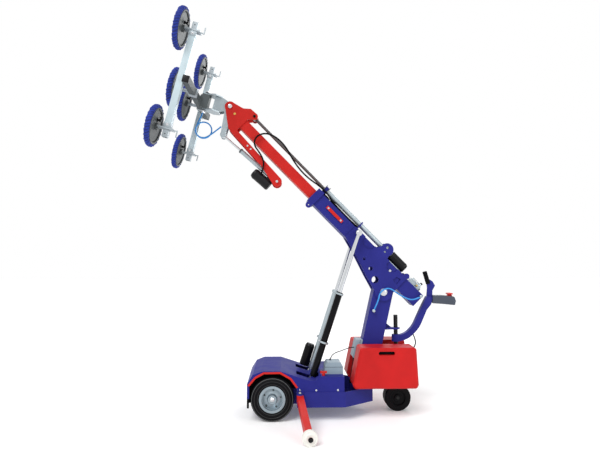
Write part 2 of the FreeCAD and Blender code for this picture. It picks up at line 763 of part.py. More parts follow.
def make_boxes():
    outline = [
        ("battery_front_x", "battery_bottom"),
        ("battery_front_x + battery_rake / 3", "battery_bottom + battery_rake / 2"),
        ("battery_front_x - battery_rake * 3 / 4", "battery_top"),
        ("battery_rear_x + battery_rake / 4", "battery_top"),
        ("battery_rear_x", "battery_bottom + battery_rake / 2"),
        ("battery_rear_x + battery_rake / 4", "battery_bottom"),
    ]
    case = plate(outline, "battery_width", rounds=[("battery_corner", range(6))])
    doc.recompute()
    outer_face = [number for number, face in enumerate(case.Shape.Faces, start=1)
                  if abs(face.CenterOfMass.y - size("battery_width") / 2) < 1e-3]
    rounded = case.Tip
    bevel = case.newObject("PartDesign::Chamfer", "bevel")
    bevel.Base = (rounded, [f"Face{outer_face[0]}"])
    bevel.setExpression("Size", bound("battery_chamfer"))
    case.Tip = bevel
    case.setExpression("Placement.Base.y", bound("battery_inner + battery_width / 2"))
    slot_height = "battery_top - battery_rake * 3 / 4"
    slot_y = "battery_inner + battery_width"
    slot_x = "(battery_front_x + battery_rear_x) / 2"
    slot_ends = "(hand_slot_length - hand_slot_height) / 2"
    slots = [box(("hand_slot_length - hand_slot_height", "2 * hand_slot_depth", "hand_slot_height"),
                 (slot_x, slot_y, slot_height))]
    for end in ("+", "-"):
        slots.append(bar("hand_slot_height", "2 * hand_slot_depth",
                         (f"{slot_x} {end} {slot_ends}", slot_y, slot_height)))
    node("battery_boxes", pair(cut(case, fuse(*slots))))

    lean = size("column_lean")
    case_middle = "control_box_height / 2"
    control = plate([("0", f"-{case_middle}"),
                     ("control_box_depth", f"-{case_middle} + control_box_depth / 4"),
                     ("control_box_depth", f"{case_middle} - control_box_depth / 6"), ("0", case_middle)],
                    "control_box_width", rounds=[("control_box_depth / 8", (1, 2))])
    level = size("battery_top") - size("battery_rake")
    face_x = size("pivot_x") + math.tan(math.radians(lean)) * (size("pivot_height") - level)
    face_x += size("column_depth") / 2 / math.cos(math.radians(lean))
    node("control_box", control, frame(face_x + size("seat_gap"), 0, level, lean))

    taper = "charger_taper"
    base = box(("charger_length", "charger_width", "charger_height * 0.6"),
               ("0", "0", "charger_height * 0.3"))
    lid = plate([("-charger_length / 2", "0"), (f"-charger_length / 2 + {taper}", "charger_height * 0.4"),
                 (f"charger_length / 2 - {taper}", "charger_height * 0.4"), ("charger_length / 2", "0")],
                "charger_width")
    lid.setExpression("Placement.Base.z", bound("charger_height * 0.6"))
    charger_x = size("deck_rear_x") + size("charger_length") / 2
    node("charger_box", fuse(base, lid), frame(charger_x, size("lift_spread"), size("deck_height")))

    stem = bar("key_diameter * 0.5", "key_height", ("0", "0", "key_height / 2"), "z")
    handle = box(("2 * key_diameter", "key_diameter * 0.4", "key_height * 0.5"),
                 ("0", "0", "key_height * 0.75"))
    rose = bar("key_diameter", "key_height * 0.4", ("0", "0", "key_height * 0.2"), "z")
    key_x = size("deck_front_x") - size("key_diameter") * 0.6
    key_y = size("lift_spread") + size("charger_width") / 2 + size("key_diameter") * 1.5
    key_z = size("deck_height") + size("seat_gap")
    node("isolator_key", fuse(stem, handle, rose), frame(key_x, key_y, key_z))


def make_outriggers():
    """Swing legs that slope down from a hinge on the tray to a roller on the floor."""
    for label, side in (("left", 1), ("right", -1)):
        drop = size("outrigger_hinge_height") - size("roller_diameter") / 2
        reach = size("outrigger_reach")
        hinge = Vector(size("outrigger_hinge_x"), side * size("outrigger_hinge_y"),
                       size("outrigger_hinge_height"))
        swing = FreeCAD.Rotation(Vector(0, 0, 1), side * (90 + size("outrigger_angle")))
        boss = cut(bar("outrigger_tube", "outrigger_tube", axis="z"),
                   bar("outrigger_pin_diameter + 2 * running_fit", "2 * outrigger_tube", axis="z"))
        drop_text = "(outrigger_hinge_height - roller_diameter / 2)"
        tube = plate([("0", "outrigger_tube / 2"), ("outrigger_reach", f"outrigger_tube / 2 - {drop_text}"),
                      ("outrigger_reach", f"-outrigger_tube / 2 - {drop_text}"),
                      ("outrigger_reach * 0.9", f"-outrigger_tube / 2 - {drop_text}"),
                      ("0", "-outrigger_tube / 2")],
                     "outrigger_tube")
        knuckle = bar("outrigger_tube + 2 * running_fit", "2 * outrigger_hinge_height", axis="z")
        stub_length = "(roller_width + 2 * sheet)"
        stub = bar("roller_bore", stub_length,
                   (f"outrigger_reach + {stub_length} / 2", "0", f"-{drop_text}"), "x")
        washer = bar("1.8 * roller_bore", "sheet",
                     ("outrigger_reach + roller_width + sheet * 5 / 2", "0", f"-{drop_text}"), "x")
        ears = "2 * (outrigger_tube / 2 + seat_gap)"
        clear = cut(box(("outrigger_tube * 1.2", "2 * outrigger_tube", "2 * outrigger_hinge_height")),
                    box(("2 * outrigger_tube", "4 * outrigger_tube", ears)))
        leg = fuse(boss, cut(tube, knuckle, clear), stub, washer)
        node(f"outrigger_leg_{label}", leg, FreeCAD.Placement(hinge, swing))
        roller = turned([
            ("roller_bore / 2 + running_fit", "-roller_width / 2"),
            ("roller_diameter * 0.3", "-roller_width / 2"),
            ("roller_diameter * 0.36", "-roller_width * 0.4"),
            ("roller_diameter * 0.46", "-roller_width * 0.4"),
            ("roller_diameter / 2", "-roller_width * 0.3"),
            ("roller_diameter / 2", "roller_width * 0.3"),
            ("roller_diameter * 0.46", "roller_width * 0.4"),
            ("roller_diameter * 0.36", "roller_width * 0.4"),
            ("roller_diameter * 0.3", "roller_width / 2"),
            ("roller_bore / 2 + running_fit", "roller_width / 2"),
        ])
        out = reach + size("sheet") + size("roller_width") / 2
        spot = hinge + swing.multVec(Vector(out, 0, -drop))
        facing = swing * FreeCAD.Rotation(Vector(0, 0, 1), -90)
        node(f"roller_{label}", roller, FreeCAD.Placement(spot, facing))


def make_steering():
    axle = "drive_diameter / 2"
    crown_low = "(drive_diameter + sheet)"
    inner_side = "(drive_width / 2 + wheel_gap / 2)"
    cheek_y = f"(-{inner_side} - fork_plate / 2)"
    crown_height = f"(bearing_height - seat_gap - {crown_low})"
    crown_width = f"({inner_side} + fork_plate + steering_shaft_diameter)"
    shaft_length = f"({TILLER_ROOT} + steering_shaft_rise - {crown_low})"
    fork = fuse(
        bar("steering_shaft_diameter", shaft_length, ("0", "0", f"{crown_low} + {shaft_length} / 2"), "z"),
        box(("2.4 * steering_shaft_diameter", crown_width, crown_height),
            ("0", f"steering_shaft_diameter - {crown_width} / 2", f"{crown_low} + {crown_height} / 2")),
        box(("2 * steering_shaft_diameter", "fork_plate", f"{crown_low} + {crown_height} - {axle}"),
            ("0", cheek_y, f"{axle} + ({crown_low} + {crown_height} - {axle}) / 2")),
        bar("2 * steering_shaft_diameter", "fork_plate", ("0", cheek_y, axle)),
        bar("axle_diameter", f"drive_width / 2 + {inner_side} + fork_plate",
            ("0", f"(drive_width / 2 - {inner_side} - fork_plate) / 2", axle)),
        bar("drive_motor_diameter", "drive_motor_length",
            ("0", f"-{inner_side} - fork_plate - drive_motor_length / 2", axle)),
    )
    stem = frame(size("front_axle_x") - size("wheelbase"), 0, 0)
    node("drive_fork", fork, stem)

    spot = FreeCAD.Placement(stem.Base + Vector(0, 0, size("drive_diameter") / 2), FreeCAD.Rotation())
    half = "drive_width / 2"
    hub_radius = "drive_hub_diameter / 2"
    node("drive_hub", turned([
        ("axle_diameter / 2 + running_fit", f"-{half}"),
        (hub_radius, f"-{half}"),
        (hub_radius, half),
        (f"{hub_radius} * 0.86", half),
        (f"{hub_radius} * 0.8", f"{half} * 0.8"),
        (f"{hub_radius} * 0.4", f"{half} * 0.8"),
        (f"{hub_radius} * 0.36", half),
        ("axle_diameter / 2 + running_fit", half),
    ]), spot)
    node("drive_tyre", turned([
        (f"{hub_radius} + seat_gap", f"-{half}"),
        (f"{axle} * 0.94", f"-{half}"),
        (axle, f"-{half} * 0.8"),
        (axle, f"{half} * 0.8"),
        (f"{axle} * 0.94", half),
        (f"{hub_radius} + seat_gap", half),
    ]), spot)

    # The tiller's side outline, from the shaft boss along its belly to the hub and back along its top
    boss = "(2 * steering_shaft_diameter)"
    root = TILLER_ROOT
    arm = plate([
        ("0", f"{root} - tiller_width / 2"),
        ("-1.6 * tiller_width", f"{root} - tiller_width / 2"),
        ("-3.75 * tiller_width", f"{root} + 1.55 * tiller_width"),
        ("-5.05 * tiller_width", f"{root} + 4.5 * tiller_width"),
        ("-5.8 * tiller_width", f"{root} + 5.4 * tiller_width"),
        ("-6.1 * tiller_width", f"{root} + 6.6 * tiller_width"),
        ("-5.1 * tiller_width", f"{root} + 6.7 * tiller_width"),
        ("-4.1 * tiller_width", f"{root} + 4.8 * tiller_width"),
        ("-2.75 * tiller_width", f"{root} + 1.95 * tiller_width"),
        ("-1.3 * tiller_width", f"{root} + tiller_width / 2"),
        ("0", f"{root} + tiller_width / 2"),
    ], "tiller_width", rounds=[("3.4 * tiller_width", (1,)), ("5 * tiller_width", (2,)),
                               ("4.4 * tiller_width", (8,)), ("2.6 * tiller_width", (9,)),
                               ("tiller_width", (3, 4)), ("tiller_width / 5", (5, 6))])
    collar = bar(boss, "1.1 * tiller_width", ("0", "0", root), "z")
    hole = bar("steering_shaft_diameter + 2 * running_fit", "4 * tiller_width", ("0", "0", root), "z")
    blade = plate([
        ("-5.1 * tiller_width", f"{root} + 6 * tiller_width"),
        ("-6.1 * tiller_width", f"{root} + 6 * tiller_width"),
        ("-6.15 * tiller_width", f"{root} + 7.6 * tiller_width"),
        ("-6.6 * tiller_width", f"{root} + 8.4 * tiller_width"),
        ("-6.2 * tiller_width", f"{root} + 9.1 * tiller_width"),
        ("-5.75 * tiller_width", f"{root} + 9.4 * tiller_width"),
        ("-5.15 * tiller_width", f"{root} + 9.5 * tiller_width"),
        ("-5.3 * tiller_width", f"{root} + 8 * tiller_width"),
    ], "tiller_width / 4", rounds=[("tiller_width / 6", (3, 4, 5, 6))])
    node("tiller_arm", cut(fuse(arm, collar, blade), hole), stem)

    arm_unit = size("tiller_width")
    hub_height = size("pivot_height") - size("tiller_drop")
    foot = stem.Base + Vector(-5.5 * arm_unit, 0, hub_height + 8.7 * arm_unit)
    grip_slot = box(("3 * grip_diameter", "tiller_width / 4 + 2 * running_fit", "grip_length"),
                    ("0", "0", "grip_length * 0.1"))
    sleeve = turned([
        ("0", "0"), ("grip_diameter / 2", "0"), ("grip_diameter / 2", "grip_length * 0.96"),
        ("grip_diameter * 0.42", "grip_length"), ("0", "grip_length"),
    ])
    sleeve.Placement.Rotation = FreeCAD.Rotation(Vector(1, 0, 0), 90)
    place = FreeCAD.Placement(foot, FreeCAD.Rotation(Vector(0, 1, 0), size("grip_lean")))
    node("handle_grip", cut(sleeve, grip_slot), place)

    length = "(3.6 * tiller_width)"
    height = "(1.25 * tiller_width)"
    pod = plate([
        ("0", f"-{height} / 2"),
        (f"-{length} * 0.5", f"-{height} * 0.6"),
        (f"-{length}", f"-{height} * 0.75"),
        (f"-{length} * 1.05", f"-{height} * 0.2"),
        (f"-{length} * 0.98", f"{height} * 0.35"),
        (f"-{length} * 0.5", f"{height} * 0.5"),
        ("0", f"{height} / 2"),
    ], "pod_width", rounds=[("tiller_width / 5", (2, 3, 4)), ("tiller_width", (1, 5))])
    rocker_spot = (f"-{length} * 0.82", "0", f"{height} * 0.36")
    well_side = "throttle_diameter + 6 * seat_gap"
    well = box((well_side, "throttle_width + 2 * seat_gap", well_side), rocker_spot)
    pin_hole = bar("throttle_diameter * 0.2 + 2 * running_fit", "pod_width * 0.8", rocker_spot)
    neck = stem.Base + Vector(-6 * arm_unit - size("seat_gap"), 0, hub_height + 6.2 * arm_unit)
    saddle = box(("tiller_width", "tiller_width + 2 * seat_gap", "4 * tiller_width"),
                 ("0.35 * tiller_width", "0", "0"))
    node("control_pod", cut(pod, well, pin_hole, saddle), frame(neck.x, 0, neck.z))

    rocker = fuse(bar("throttle_diameter", "throttle_width"),
                  bar("throttle_diameter * 0.2", "pod_width * 0.8"),
                  box(("throttle_diameter * 0.3", "throttle_width", "throttle_diameter * 0.3"),
                      ("0", "0", "throttle_diameter * 0.5")))
    offset = Vector(-3.6 * 0.82 * arm_unit, 0, 1.25 * 0.36 * arm_unit)
    node("thumb_throttle", rocker, frame(neck.x + offset.x, 0, neck.z + offset.z))


BOOM = frame(size("pivot_x"), 0, size("pivot_height"), size("boom_angle"))


def boom_point(along, offset):
    """A point in the machine's middle plane from its place in the boom's own frame."""
    return BOOM.multVec(Vector(size(along), 0, size(offset)))


def make_boom():
    length = "(boom_front - boom_tail)"
    middle = "(boom_front + boom_tail) / 2"
    tube = square_tube("boom_height", "boom_width", "boom_wall", length, (middle, "0", "boom_offset"))
    port = hose_port("boom_width", "tail_port_along", "tail_port_offset")
    node("outer_boom", fuse(tube, port), BOOM)

    top = "(boom_offset + boom_height / 2)"
    low = "(boom_offset - boom_height / 2)"
    edge = f"{top} + plate_rise"
    lobe = "(pivot_lobe_diameter / 2)"
    outline = [
        ("lift_pin_along + plate_overhang", low),
        ("lift_pin_along - knee_setback", f"{low} - knee_drop"),
        (f"{lobe} * 2.7", f"-{lobe} * 0.1"),
        (f"{lobe} * 0.8", f"-{lobe} * 0.65"),
        (f"-{lobe} * 0.8", f"{lobe} * 0.55"),
        ("rear_lug_along - rear_lug_diameter / 3", f"{low} + 2 * plate_rise"),
        ("rear_lug_along - rear_lug_diameter * 0.3", "rear_lug_offset"),
        ("rear_lug_along + rear_lug_diameter * 0.4", edge),
        ("ear_along - ear_diameter / 2", edge),
        ("ear_along - ear_diameter * 0.4", "ear_offset"),
        ("ear_along + ear_diameter * 0.45", "ear_offset"),
        ("ear_along + ear_diameter * 0.7", edge),
        ("lift_pin_along + plate_overhang", edge),
    ]
    notches = []
    for rear, front in (("ear_along + ear_diameter * 0.85", "lift_pin_along - plate_overhang - side_plate"),
                        ("rear_lug_along + 2 * rear_lug_diameter", "ear_along - ear_diameter * 0.75")):
        notches.append([
            (rear, f"{top} + plate_notch"),
            (rear, f"{top} - plate_notch"),
            (f"{rear} + plate_notch", f"{top} - 2 * plate_notch"),
            (f"{front} - plate_notch", f"{top} - 2 * plate_notch"),
            (front, f"{top} - plate_notch"),
            (front, f"{top} + plate_notch"),
        ])
    window = [
        ("rear_lug_along + 2 * plate_notch", f"{low} + plate_notch"),
        ("rear_lug_along + 1.8 * plate_notch", f"{low} + 2.3 * plate_notch"),
        ("rear_lug_along + 0.55 * plate_notch", f"{low} + 2.6 * plate_notch"),
        ("rear_lug_along + plate_notch / 3", f"{low} + 0.8 * plate_notch"),
    ]
    lobes = [
        ("0", "0", "pivot_lobe_diameter"),
        ("ear_along", "ear_offset", "ear_diameter"),
        ("rear_lug_along", "rear_lug_offset", "rear_lug_diameter"),
    ]
    holes = [
        ("0", "0", "pivot_pin_diameter + 2 * running_fit"),
        ("ear_along + ear_diameter * 0.08", "ear_offset + ear_diameter * 0.13", "lift_pin_diameter"),
        ("ear_along", "ear_offset - ear_diameter / 4", "lift_pin_diameter * 0.85"),
        (f"{lobe} * 4.16", f"{low} - {lobe} * 0.22", f"{lobe} / 3"),
        (f"{lobe} * 2.86", f"{low} - {lobe} * 0.47", f"{lobe} * 0.47"),
        (f"{lobe} * 1.63", f"{low} - {lobe}", f"{lobe} * 0.8"),
    ]
    side = plate(outline, "side_plate", rounds=[("side_plate", (0, 12))], lobes=lobes, holes=holes,
                 windows=notches + [window])
    side.setExpression("Placement.Base.y", bound(PLATE_MIDDLE))
    stud_length = "(lift_spread - lift_eye_width / 2 - 2 * seat_gap - boom_width / 2 - side_plate)"
    stud = bar("lift_pin_diameter", stud_length,
               ("lift_pin_along", f"boom_width / 2 + side_plate + {stud_length} / 2", "lift_pin_offset"))
    node("boom_side_plates", pair(fuse(side, stud)), BOOM)

    collar_middle = "(boom_front - collar_length / 2 + collar_plate / 2)"
    full = ("collar_length + collar_plate", "boom_width + 2 * collar_wall", "boom_height + 2 * collar_wall")
    ring = cut(box(full, (collar_middle, "0", "boom_offset")),
               box(("collar_length", "boom_width", "boom_height"),
                   ("boom_front - collar_length / 2", "0", "boom_offset")),
               box(("4 * collar_length", "inner_width + 2 * seat_gap", "inner_height + 2 * seat_gap"),
                   (collar_middle, "0", "boom_offset")))
    clamp_length = "(telescope_tube_front - boom_front + collar_length)"
    clamp_middle = f"(telescope_tube_front - {clamp_length} / 2)"
    saddle_top = "(telescope_offset - boom_offset - boom_height / 2 - collar_wall)"
    clamp = cut(fuse(bar("telescope_tube_diameter + 2 * collar_wall", clamp_length,
                         (clamp_middle, "0", "telescope_offset"), "x"),
                     box((clamp_length, "telescope_tube_diameter", saddle_top),
                         (clamp_middle, "0", f"telescope_offset - {saddle_top} / 2"))),
                bar("telescope_tube_diameter + 2 * running_fit", "boom_front",
                    ("boom_front", "0", "telescope_offset"), "x"))
    lug_centre = ("boom_front - collar_length / 2", "boom_offset - boom_height / 2 - collar_lug_drop")
    lug = plate([("boom_front", f"{low} + collar_wall"), ("boom_front", f"{low} - collar_wall"),
                 ("boom_front - collar_length", f"{low} - collar_wall"),
                 ("boom_front - collar_length", f"{low} + collar_wall")], "collar_plate",
                lobes=[lug_centre + ("collar_length",)], holes=[lug_centre + ("lift_pin_diameter / 2",)])
    lug.setExpression("Placement.Base.y", bound("boom_width / 2 + collar_wall - collar_plate / 2"))
    guide_middle = "(lift_pin_along + guide_gap)"
    guide_top = "(telescope_offset + telescope_tube_diameter / 2 + collar_wall)"
    guide = cut(fuse(box(("collar_plate", "guide_width", f"telescope_offset - {top}"),
                         (guide_middle, "0", f"({top} + telescope_offset) / 2")),
                     bar(f"2 * ({guide_top} - telescope_offset)", "collar_plate",
                         (guide_middle, "0", "telescope_offset"), "x")),
                bar("telescope_tube_diameter + 2 * running_fit", "boom_front",
                    (guide_middle, "0", "telescope_offset"), "x"))
    node("boom_collar", group(fuse(ring, clamp, lug), guide), BOOM)

    tube_length = "(telescope_tube_front - telescope_motor_front)"
    tube_middle = "(telescope_tube_front + telescope_motor_front) / 2"
    trunnion = box(("ear_diameter * 0.4", "boom_width", "telescope_tube_diameter * 1.3"),
                   ("ear_along", "0", "telescope_offset"))
    tube = cut(fuse(bar("telescope_tube_diameter", tube_length, (tube_middle, "0", "telescope_offset"), "x"),
                    trunnion),
               bar("telescope_rod_diameter + 2 * running_fit", tube_length,
                   (f"{tube_middle} + sheet", "0", "telescope_offset"), "x"))
    node("telescope_tube", tube, BOOM)

    radius = "telescope_motor_diameter / 2"
    span = "(telescope_motor_front - telescope_motor_rear)"
    motor = turned([("0", "0"), (radius, "0"), (radius, f"{span} * 0.92"),
                    (f"{radius} * 0.86", span), ("0", span)])
    motor.Placement.Rotation = FreeCAD.Rotation(Vector(0, 0, 1), 90)
    motor.setExpression("Placement.Base.x", bound("telescope_motor_front"))
    motor.setExpression("Placement.Base.z", bound("telescope_offset"))
    foot = box((f"{span} * 0.8", "telescope_motor_diameter * 0.6", f"telescope_offset - {top}"),
               (f"telescope_motor_rear + {span} * 0.5", "0", f"({top} + telescope_offset) / 2"))
    node("telescope_motor", fuse(motor, foot), BOOM)

    case_middle = "(vacuum_rear + vacuum_length / 2)"
    case = box(("vacuum_length", "vacuum_width", "vacuum_height"),
               (case_middle, "0", f"{top} + vacuum_height / 2"))
    drum = bar("vacuum_height", "vacuum_length * 0.7", (case_middle, "0", f"{top} + vacuum_height"), "x")
    valve = bar("vacuum_height * 0.4", "vacuum_height",
                ("vacuum_rear + vacuum_height / 3", "vacuum_width / 3", f"{top} + vacuum_height"), "z")
    port = bar("vacuum_hose_diameter * 1.6", "vacuum_width / 2",
               ("vacuum_rear + vacuum_height", "vacuum_width / 2", f"{top} + vacuum_height / 2"))
    node("vacuum_unit", fuse(case, drum, valve, port), BOOM)


def make_inner_boom():
    length = "(inner_front - inner_rear)"
    tube = square_tube("inner_height", "inner_width", "inner_wall", length,
                       ("(inner_front + inner_rear) / 2", "0", "boom_offset"))
    slider = cut(box(("slider_length", "boom_width - 2 * boom_wall - 2 * seat_gap",
                      "boom_height - 2 * boom_wall - 2 * seat_gap"),
                     ("inner_rear + slider_length / 2", "0", "boom_offset")),
                 box(("4 * slider_length", "inner_width - 2 * inner_wall", "inner_height - 2 * inner_wall"),
                     ("inner_rear", "0", "boom_offset")))
    node("inner_boom", fuse(tube, slider), BOOM)

    top = "(boom_offset + inner_height / 2)"
    low = "(boom_offset - boom_height / 2 - collar_wall - sheet)"
    root = "(tip_along - head_root_setback)"
    outline = [
        ("tip_along", "tip_offset + tip_diameter / 2"),
        ("tip_along - tip_diameter", f"{top} + tip_diameter * 0.54"),
        ("rod_pin_along + rod_lug_diameter * 1.2", "rod_pin_offset + rod_lug_diameter * 0.4"),
        ("rod_pin_along", "rod_pin_offset + rod_lug_diameter / 2"),
        ("rod_pin_along", "rod_pin_offset - rod_lug_diameter / 2"),
        (root, f"{top} + 2 * sheet"),
        (root, low),
        ("lobe_along", "lobe_offset + lobe_diameter / 2"),
        ("lobe_along", "lobe_offset - lobe_diameter / 2"),
        ("lobe_along + 2.35 * lobe_diameter", "lobe_offset"),
        ("tip_along - 1.44 * tip_diameter", "lobe_offset + lobe_diameter / 4"),
        ("tip_along + tip_diameter * 0.46", "tip_offset - tip_diameter * 0.24"),
    ]
    cheek = plate(outline, "head_plate",
                  rounds=[("tip_diameter * 0.58", (1, 10)), ("lobe_diameter / 6", (6,))],
                  lobes=[("tip_along", "tip_offset", "tip_diameter"),
                         ("lobe_along", "lobe_offset", "lobe_diameter"),
                         ("rod_pin_along", "rod_pin_offset", "rod_lug_diameter")],
                  holes=[("tip_along", "tip_offset", "tip_pin_diameter + 2 * running_fit"),
                         ("lobe_along", "lobe_offset", "lobe_pin_diameter + 2 * running_fit"),
                         ("rod_pin_along", "rod_pin_offset", "rod_pin_diameter + 2 * running_fit")])
    cheek.setExpression("Placement.Base.y", bound(HEAD_PLATE_MIDDLE))
    node("head_plates", pair(cheek), BOOM)

    pin_length = "inner_width + 4 * head_plate"
    node("head_pins", group(
        bar("tip_pin_diameter", pin_length, ("tip_along", "0", "tip_offset")),
        bar("lobe_pin_diameter", pin_length, ("lobe_along", "0", "lobe_offset")),
        bar("rod_pin_diameter", pin_length, ("rod_pin_along", "0", "rod_pin_offset")),
    ), BOOM)

    hidden = "(telescope_tube_front - 3 * telescope_rod_diameter)"
    span = f"(rod_pin_along - {hidden})"
    rod = fuse(bar("telescope_rod_diameter", span, (f"{hidden} + {span} / 2", "0", "telescope_offset"), "x"),
               bar("1.7 * telescope_rod_diameter", "inner_width - 2 * seat_gap",
                   ("rod_pin_along", "0", "rod_pin_offset")))
    node("telescope_rod", cut(rod, bar("rod_pin_diameter + 2 * running_fit", "2 * inner_width",
                                       ("rod_pin_along", "0", "rod_pin_offset"))), BOOM)


def pointing(start, finish, y=0.0):
    """The place whose own X axis runs from one point of the middle plane to another."""
    rise = math.degrees(math.atan2(finish.z - start.z, finish.x - start.x))
    return frame(start.x, y, start.z, rise), (finish - start).Length


def motor_can(diameter, start, length, offset):
    """A capped motor beside an actuator, along X."""
    radius = f"({diameter} / 2)"
    can = turned([("0", "0"), (f"{radius} * 0.9", "0"), (radius, f"{length} * 0.05"),
                  (radius, f"{length} * 0.9"), (f"{radius} * 0.8", length), ("0", length)])
    can.Placement.Rotation = FreeCAD.Rotation(Vector(0, 0, 1), -90)
    can.setExpression("Placement.Base.x", bound(start))
    can.setExpression("Placement.Base.z", bound(offset))
    return can


def make_lift():
    """A gas spring on the left and a motor-driven actuator on the right, from the chassis lugs
    to studs on the boom's side plates."""
    base = Vector(size("lift_base_x"), 0, size("lift_base_height"))
    place, reach = pointing(base, boom_point("lift_pin_along", "lift_pin_offset"))
    tubes = []
    rods = []
    for side in ("", "-"):
        y = f"{side}lift_spread"
        eye = bar("lift_eye_diameter", "lift_eye_width", ("0", y, "0"))
        neck = bar("lift_neck_diameter", "lift_neck", ("lift_neck / 2", y, "0"), "x")
        barrel = bar("lift_tube_diameter", "lift_tube_end - lift_neck",
                     ("(lift_tube_end + lift_neck) / 2", y, "0"), "x")
        rings = []
        for share in (0.42, 0.98):
            rings.append(bar("1.18 * lift_tube_diameter", "lift_tube_diameter / 3",
                             (f"lift_tube_end * {share}", y, "0"), "x"))
        drive = []
        if side:
            lengths = ("lift_eye_diameter", "lift_gear_width",
                       "lift_motor_offset + lift_motor_diameter / 2")
            middle = ("lift_motor_start + lift_eye_diameter / 2", y, "-lift_motor_offset / 2")
            drive.append(box(lengths, middle))
            can = motor_can("lift_motor_diameter", "lift_motor_start", "lift_motor_length",
                            "-lift_motor_offset")
            can.setExpression("Placement.Base.y", bound(y))
            drive.append(can)
        bore = bar("lift_rod_diameter + 2 * running_fit", "lift_tube_end",
                   ("lift_tube_end / 2 + 2 * lift_eye_diameter", y, "0"), "x")
        pin_hole = bar("lift_pin_diameter + 2 * running_fit", "2 * lift_eye_width", ("0", y, "0"))
        tubes.append(cut(fuse(eye, neck, barrel, *drive, *rings), bore, pin_hole))
        span = reach - size("lift_rod_start")
        shaft = bar("lift_rod_diameter", f"{span}", (f"{size('lift_rod_start') + span / 2}", y, "0"), "x")
        rod_eye = bar("lift_eye_diameter", "lift_eye_width", (f"{reach}", y, "0"))
        rod_hole = bar("lift_pin_diameter + 2 * running_fit", "2 * lift_eye_width", (f"{reach}", y, "0"))
        rods.append(cut(fuse(shaft, rod_eye), rod_hole))
    node("lift_tubes", group(*tubes), place)
    node("lift_rods", group(*rods), place)


TIP = boom_point("tip_along", "tip_offset")
HEAD = frame(TIP.x, 0, TIP.z, size("head_elevation"))


def make_tilt():
    lever_pin = HEAD.multVec(Vector(0, 0, -size("lever_length")))
    place, reach = pointing(boom_point("lobe_along", "lobe_offset"), lever_pin)
    eye = bar("tilt_eye_diameter", "inner_width - 2 * seat_gap")
    tube_end = f"({reach} - tilt_rod_show)"
    barrel = bar("tilt_tube_diameter", tube_end, (f"{tube_end} / 2", "0", "0"), "x")
    bore = bar("tilt_rod_diameter + 2 * running_fit", tube_end,
               (f"{tube_end} / 2 + 2 * tilt_eye_diameter", "0", "0"), "x")
    pin_hole = bar("lobe_pin_diameter + 2 * running_fit", "2 * inner_width")
    node("tilt_tube", cut(fuse(eye, barrel), bore, pin_hole), place)
    can = motor_can("tilt_motor_diameter", "tilt_motor_start", "tilt_motor_length", "-tilt_motor_offset")
    gear = box(("tilt_eye_diameter * 1.4", "tilt_tube_diameter * 1.6",
                "tilt_motor_offset + tilt_tube_diameter"),
               ("tilt_eye_diameter * 1.4", "0", "-tilt_motor_offset / 2 + tilt_tube_diameter / 4"))
    seat = bar("tilt_tube_diameter + 2 * running_fit", f"2 * {tube_end}", axis="x")
    node("tilt_motor", cut(fuse(can, gear), seat), place)
    span = reach - size("tilt_rod_start")
    rod = fuse(bar("tilt_rod_diameter", f"{span}", (f"{size('tilt_rod_start') + span / 2}", "0", "0"), "x"),
               bar("tilt_eye_diameter", "lever_eye_width", (f"{reach}", "0", "0")))
    hole = bar("lobe_pin_diameter", "2 * lever_eye_width", (f"{reach}", "0", "0"))
    node("tilt_rod", cut(rod, hole), place)


def make_yoke():
    half = "yoke_height / 2"
    lobe = "(tip_diameter * 0.43)"
    cheek_y = "(yoke_spread / 2 + yoke_cheek / 2)"
    nose = "(pan_axis - pan_block_width)"
    outline = [
        (f"-{lobe} * 0.8", "0"), ("-lever_eye_diameter * 0.42", "-lever_length"),
        ("lever_eye_diameter * 0.42", "-lever_length"),
        (lobe, f"-{half} * 0.7"), (f"{nose} * 0.5", f"-{half}"), (nose, f"-{half}"),
        (nose, half), (f"{nose} * 0.5", half), ("0", f"{lobe} * 0.8"),
    ]
    pieces = []
    for side in ("", "-"):
        cheek = plate(outline, "yoke_cheek", rounds=[("tip_diameter / 8", (3, 4))],
                      lobes=[("0", "0", f"2 * {lobe}"), ("0", "-lever_length", "lever_eye_diameter")],
                      holes=[("0", "0", "tip_pin_diameter + 2 * running_fit")])
        cheek.setExpression("Placement.Base.y", bound(f"{side}{cheek_y}"))
        pieces.append(cheek)
        stub = "(yoke_spread / 2 - lever_eye_width / 2 - 2 * seat_gap)"
        pieces.append(bar("lobe_pin_diameter", stub,
                          ("0", f"{side}(yoke_spread / 2 - {stub} / 2)", "-lever_length")))
        wing = plate(both_sides([
            (f"{nose} * 0.55", "yoke_spread / 2 + yoke_cheek"), (nose, "yoke_spread * 1.2"),
            ("pan_axis", "pan_stud_diameter"),
            ("pan_axis + pan_stud_diameter * 0.5", "pan_stud_diameter * 0.8"),
        ]), "yoke_plate", "XY_Plane", rounds=[("pan_stud_diameter * 0.6", (1, 6))],
            holes=[("pan_axis", "0", "pan_stud_diameter + 2 * running_fit")])
        wing.setExpression("Placement.Base.z", bound(f"{side}({half} + yoke_plate / 2)"))
        pieces.append(wing)
    node("tilt_yoke", fuse(*pieces), HEAD)

    block_half = f"({half} - seat_gap)"
    depth = "(rotor_face - seat_gap - pan_axis + pan_block_depth / 2)"
    block = box((depth, "pan_block_width", f"2 * {block_half}"),
                (f"rotor_face - seat_gap - {depth} / 2", "0", "0"))
    stud = bar("pan_stud_diameter", "yoke_height + 4 * yoke_plate", ("pan_axis", "0", "0"), "z")
    shaft_hole = bar("rotor_shaft_diameter + 2 * running_fit", "2 * rotor_shaft_length + 2 * seat_gap",
                     ("rotor_face", "0", "0"), "x")
    node("pan_block", cut(fuse(block, stud), shaft_hole), HEAD)


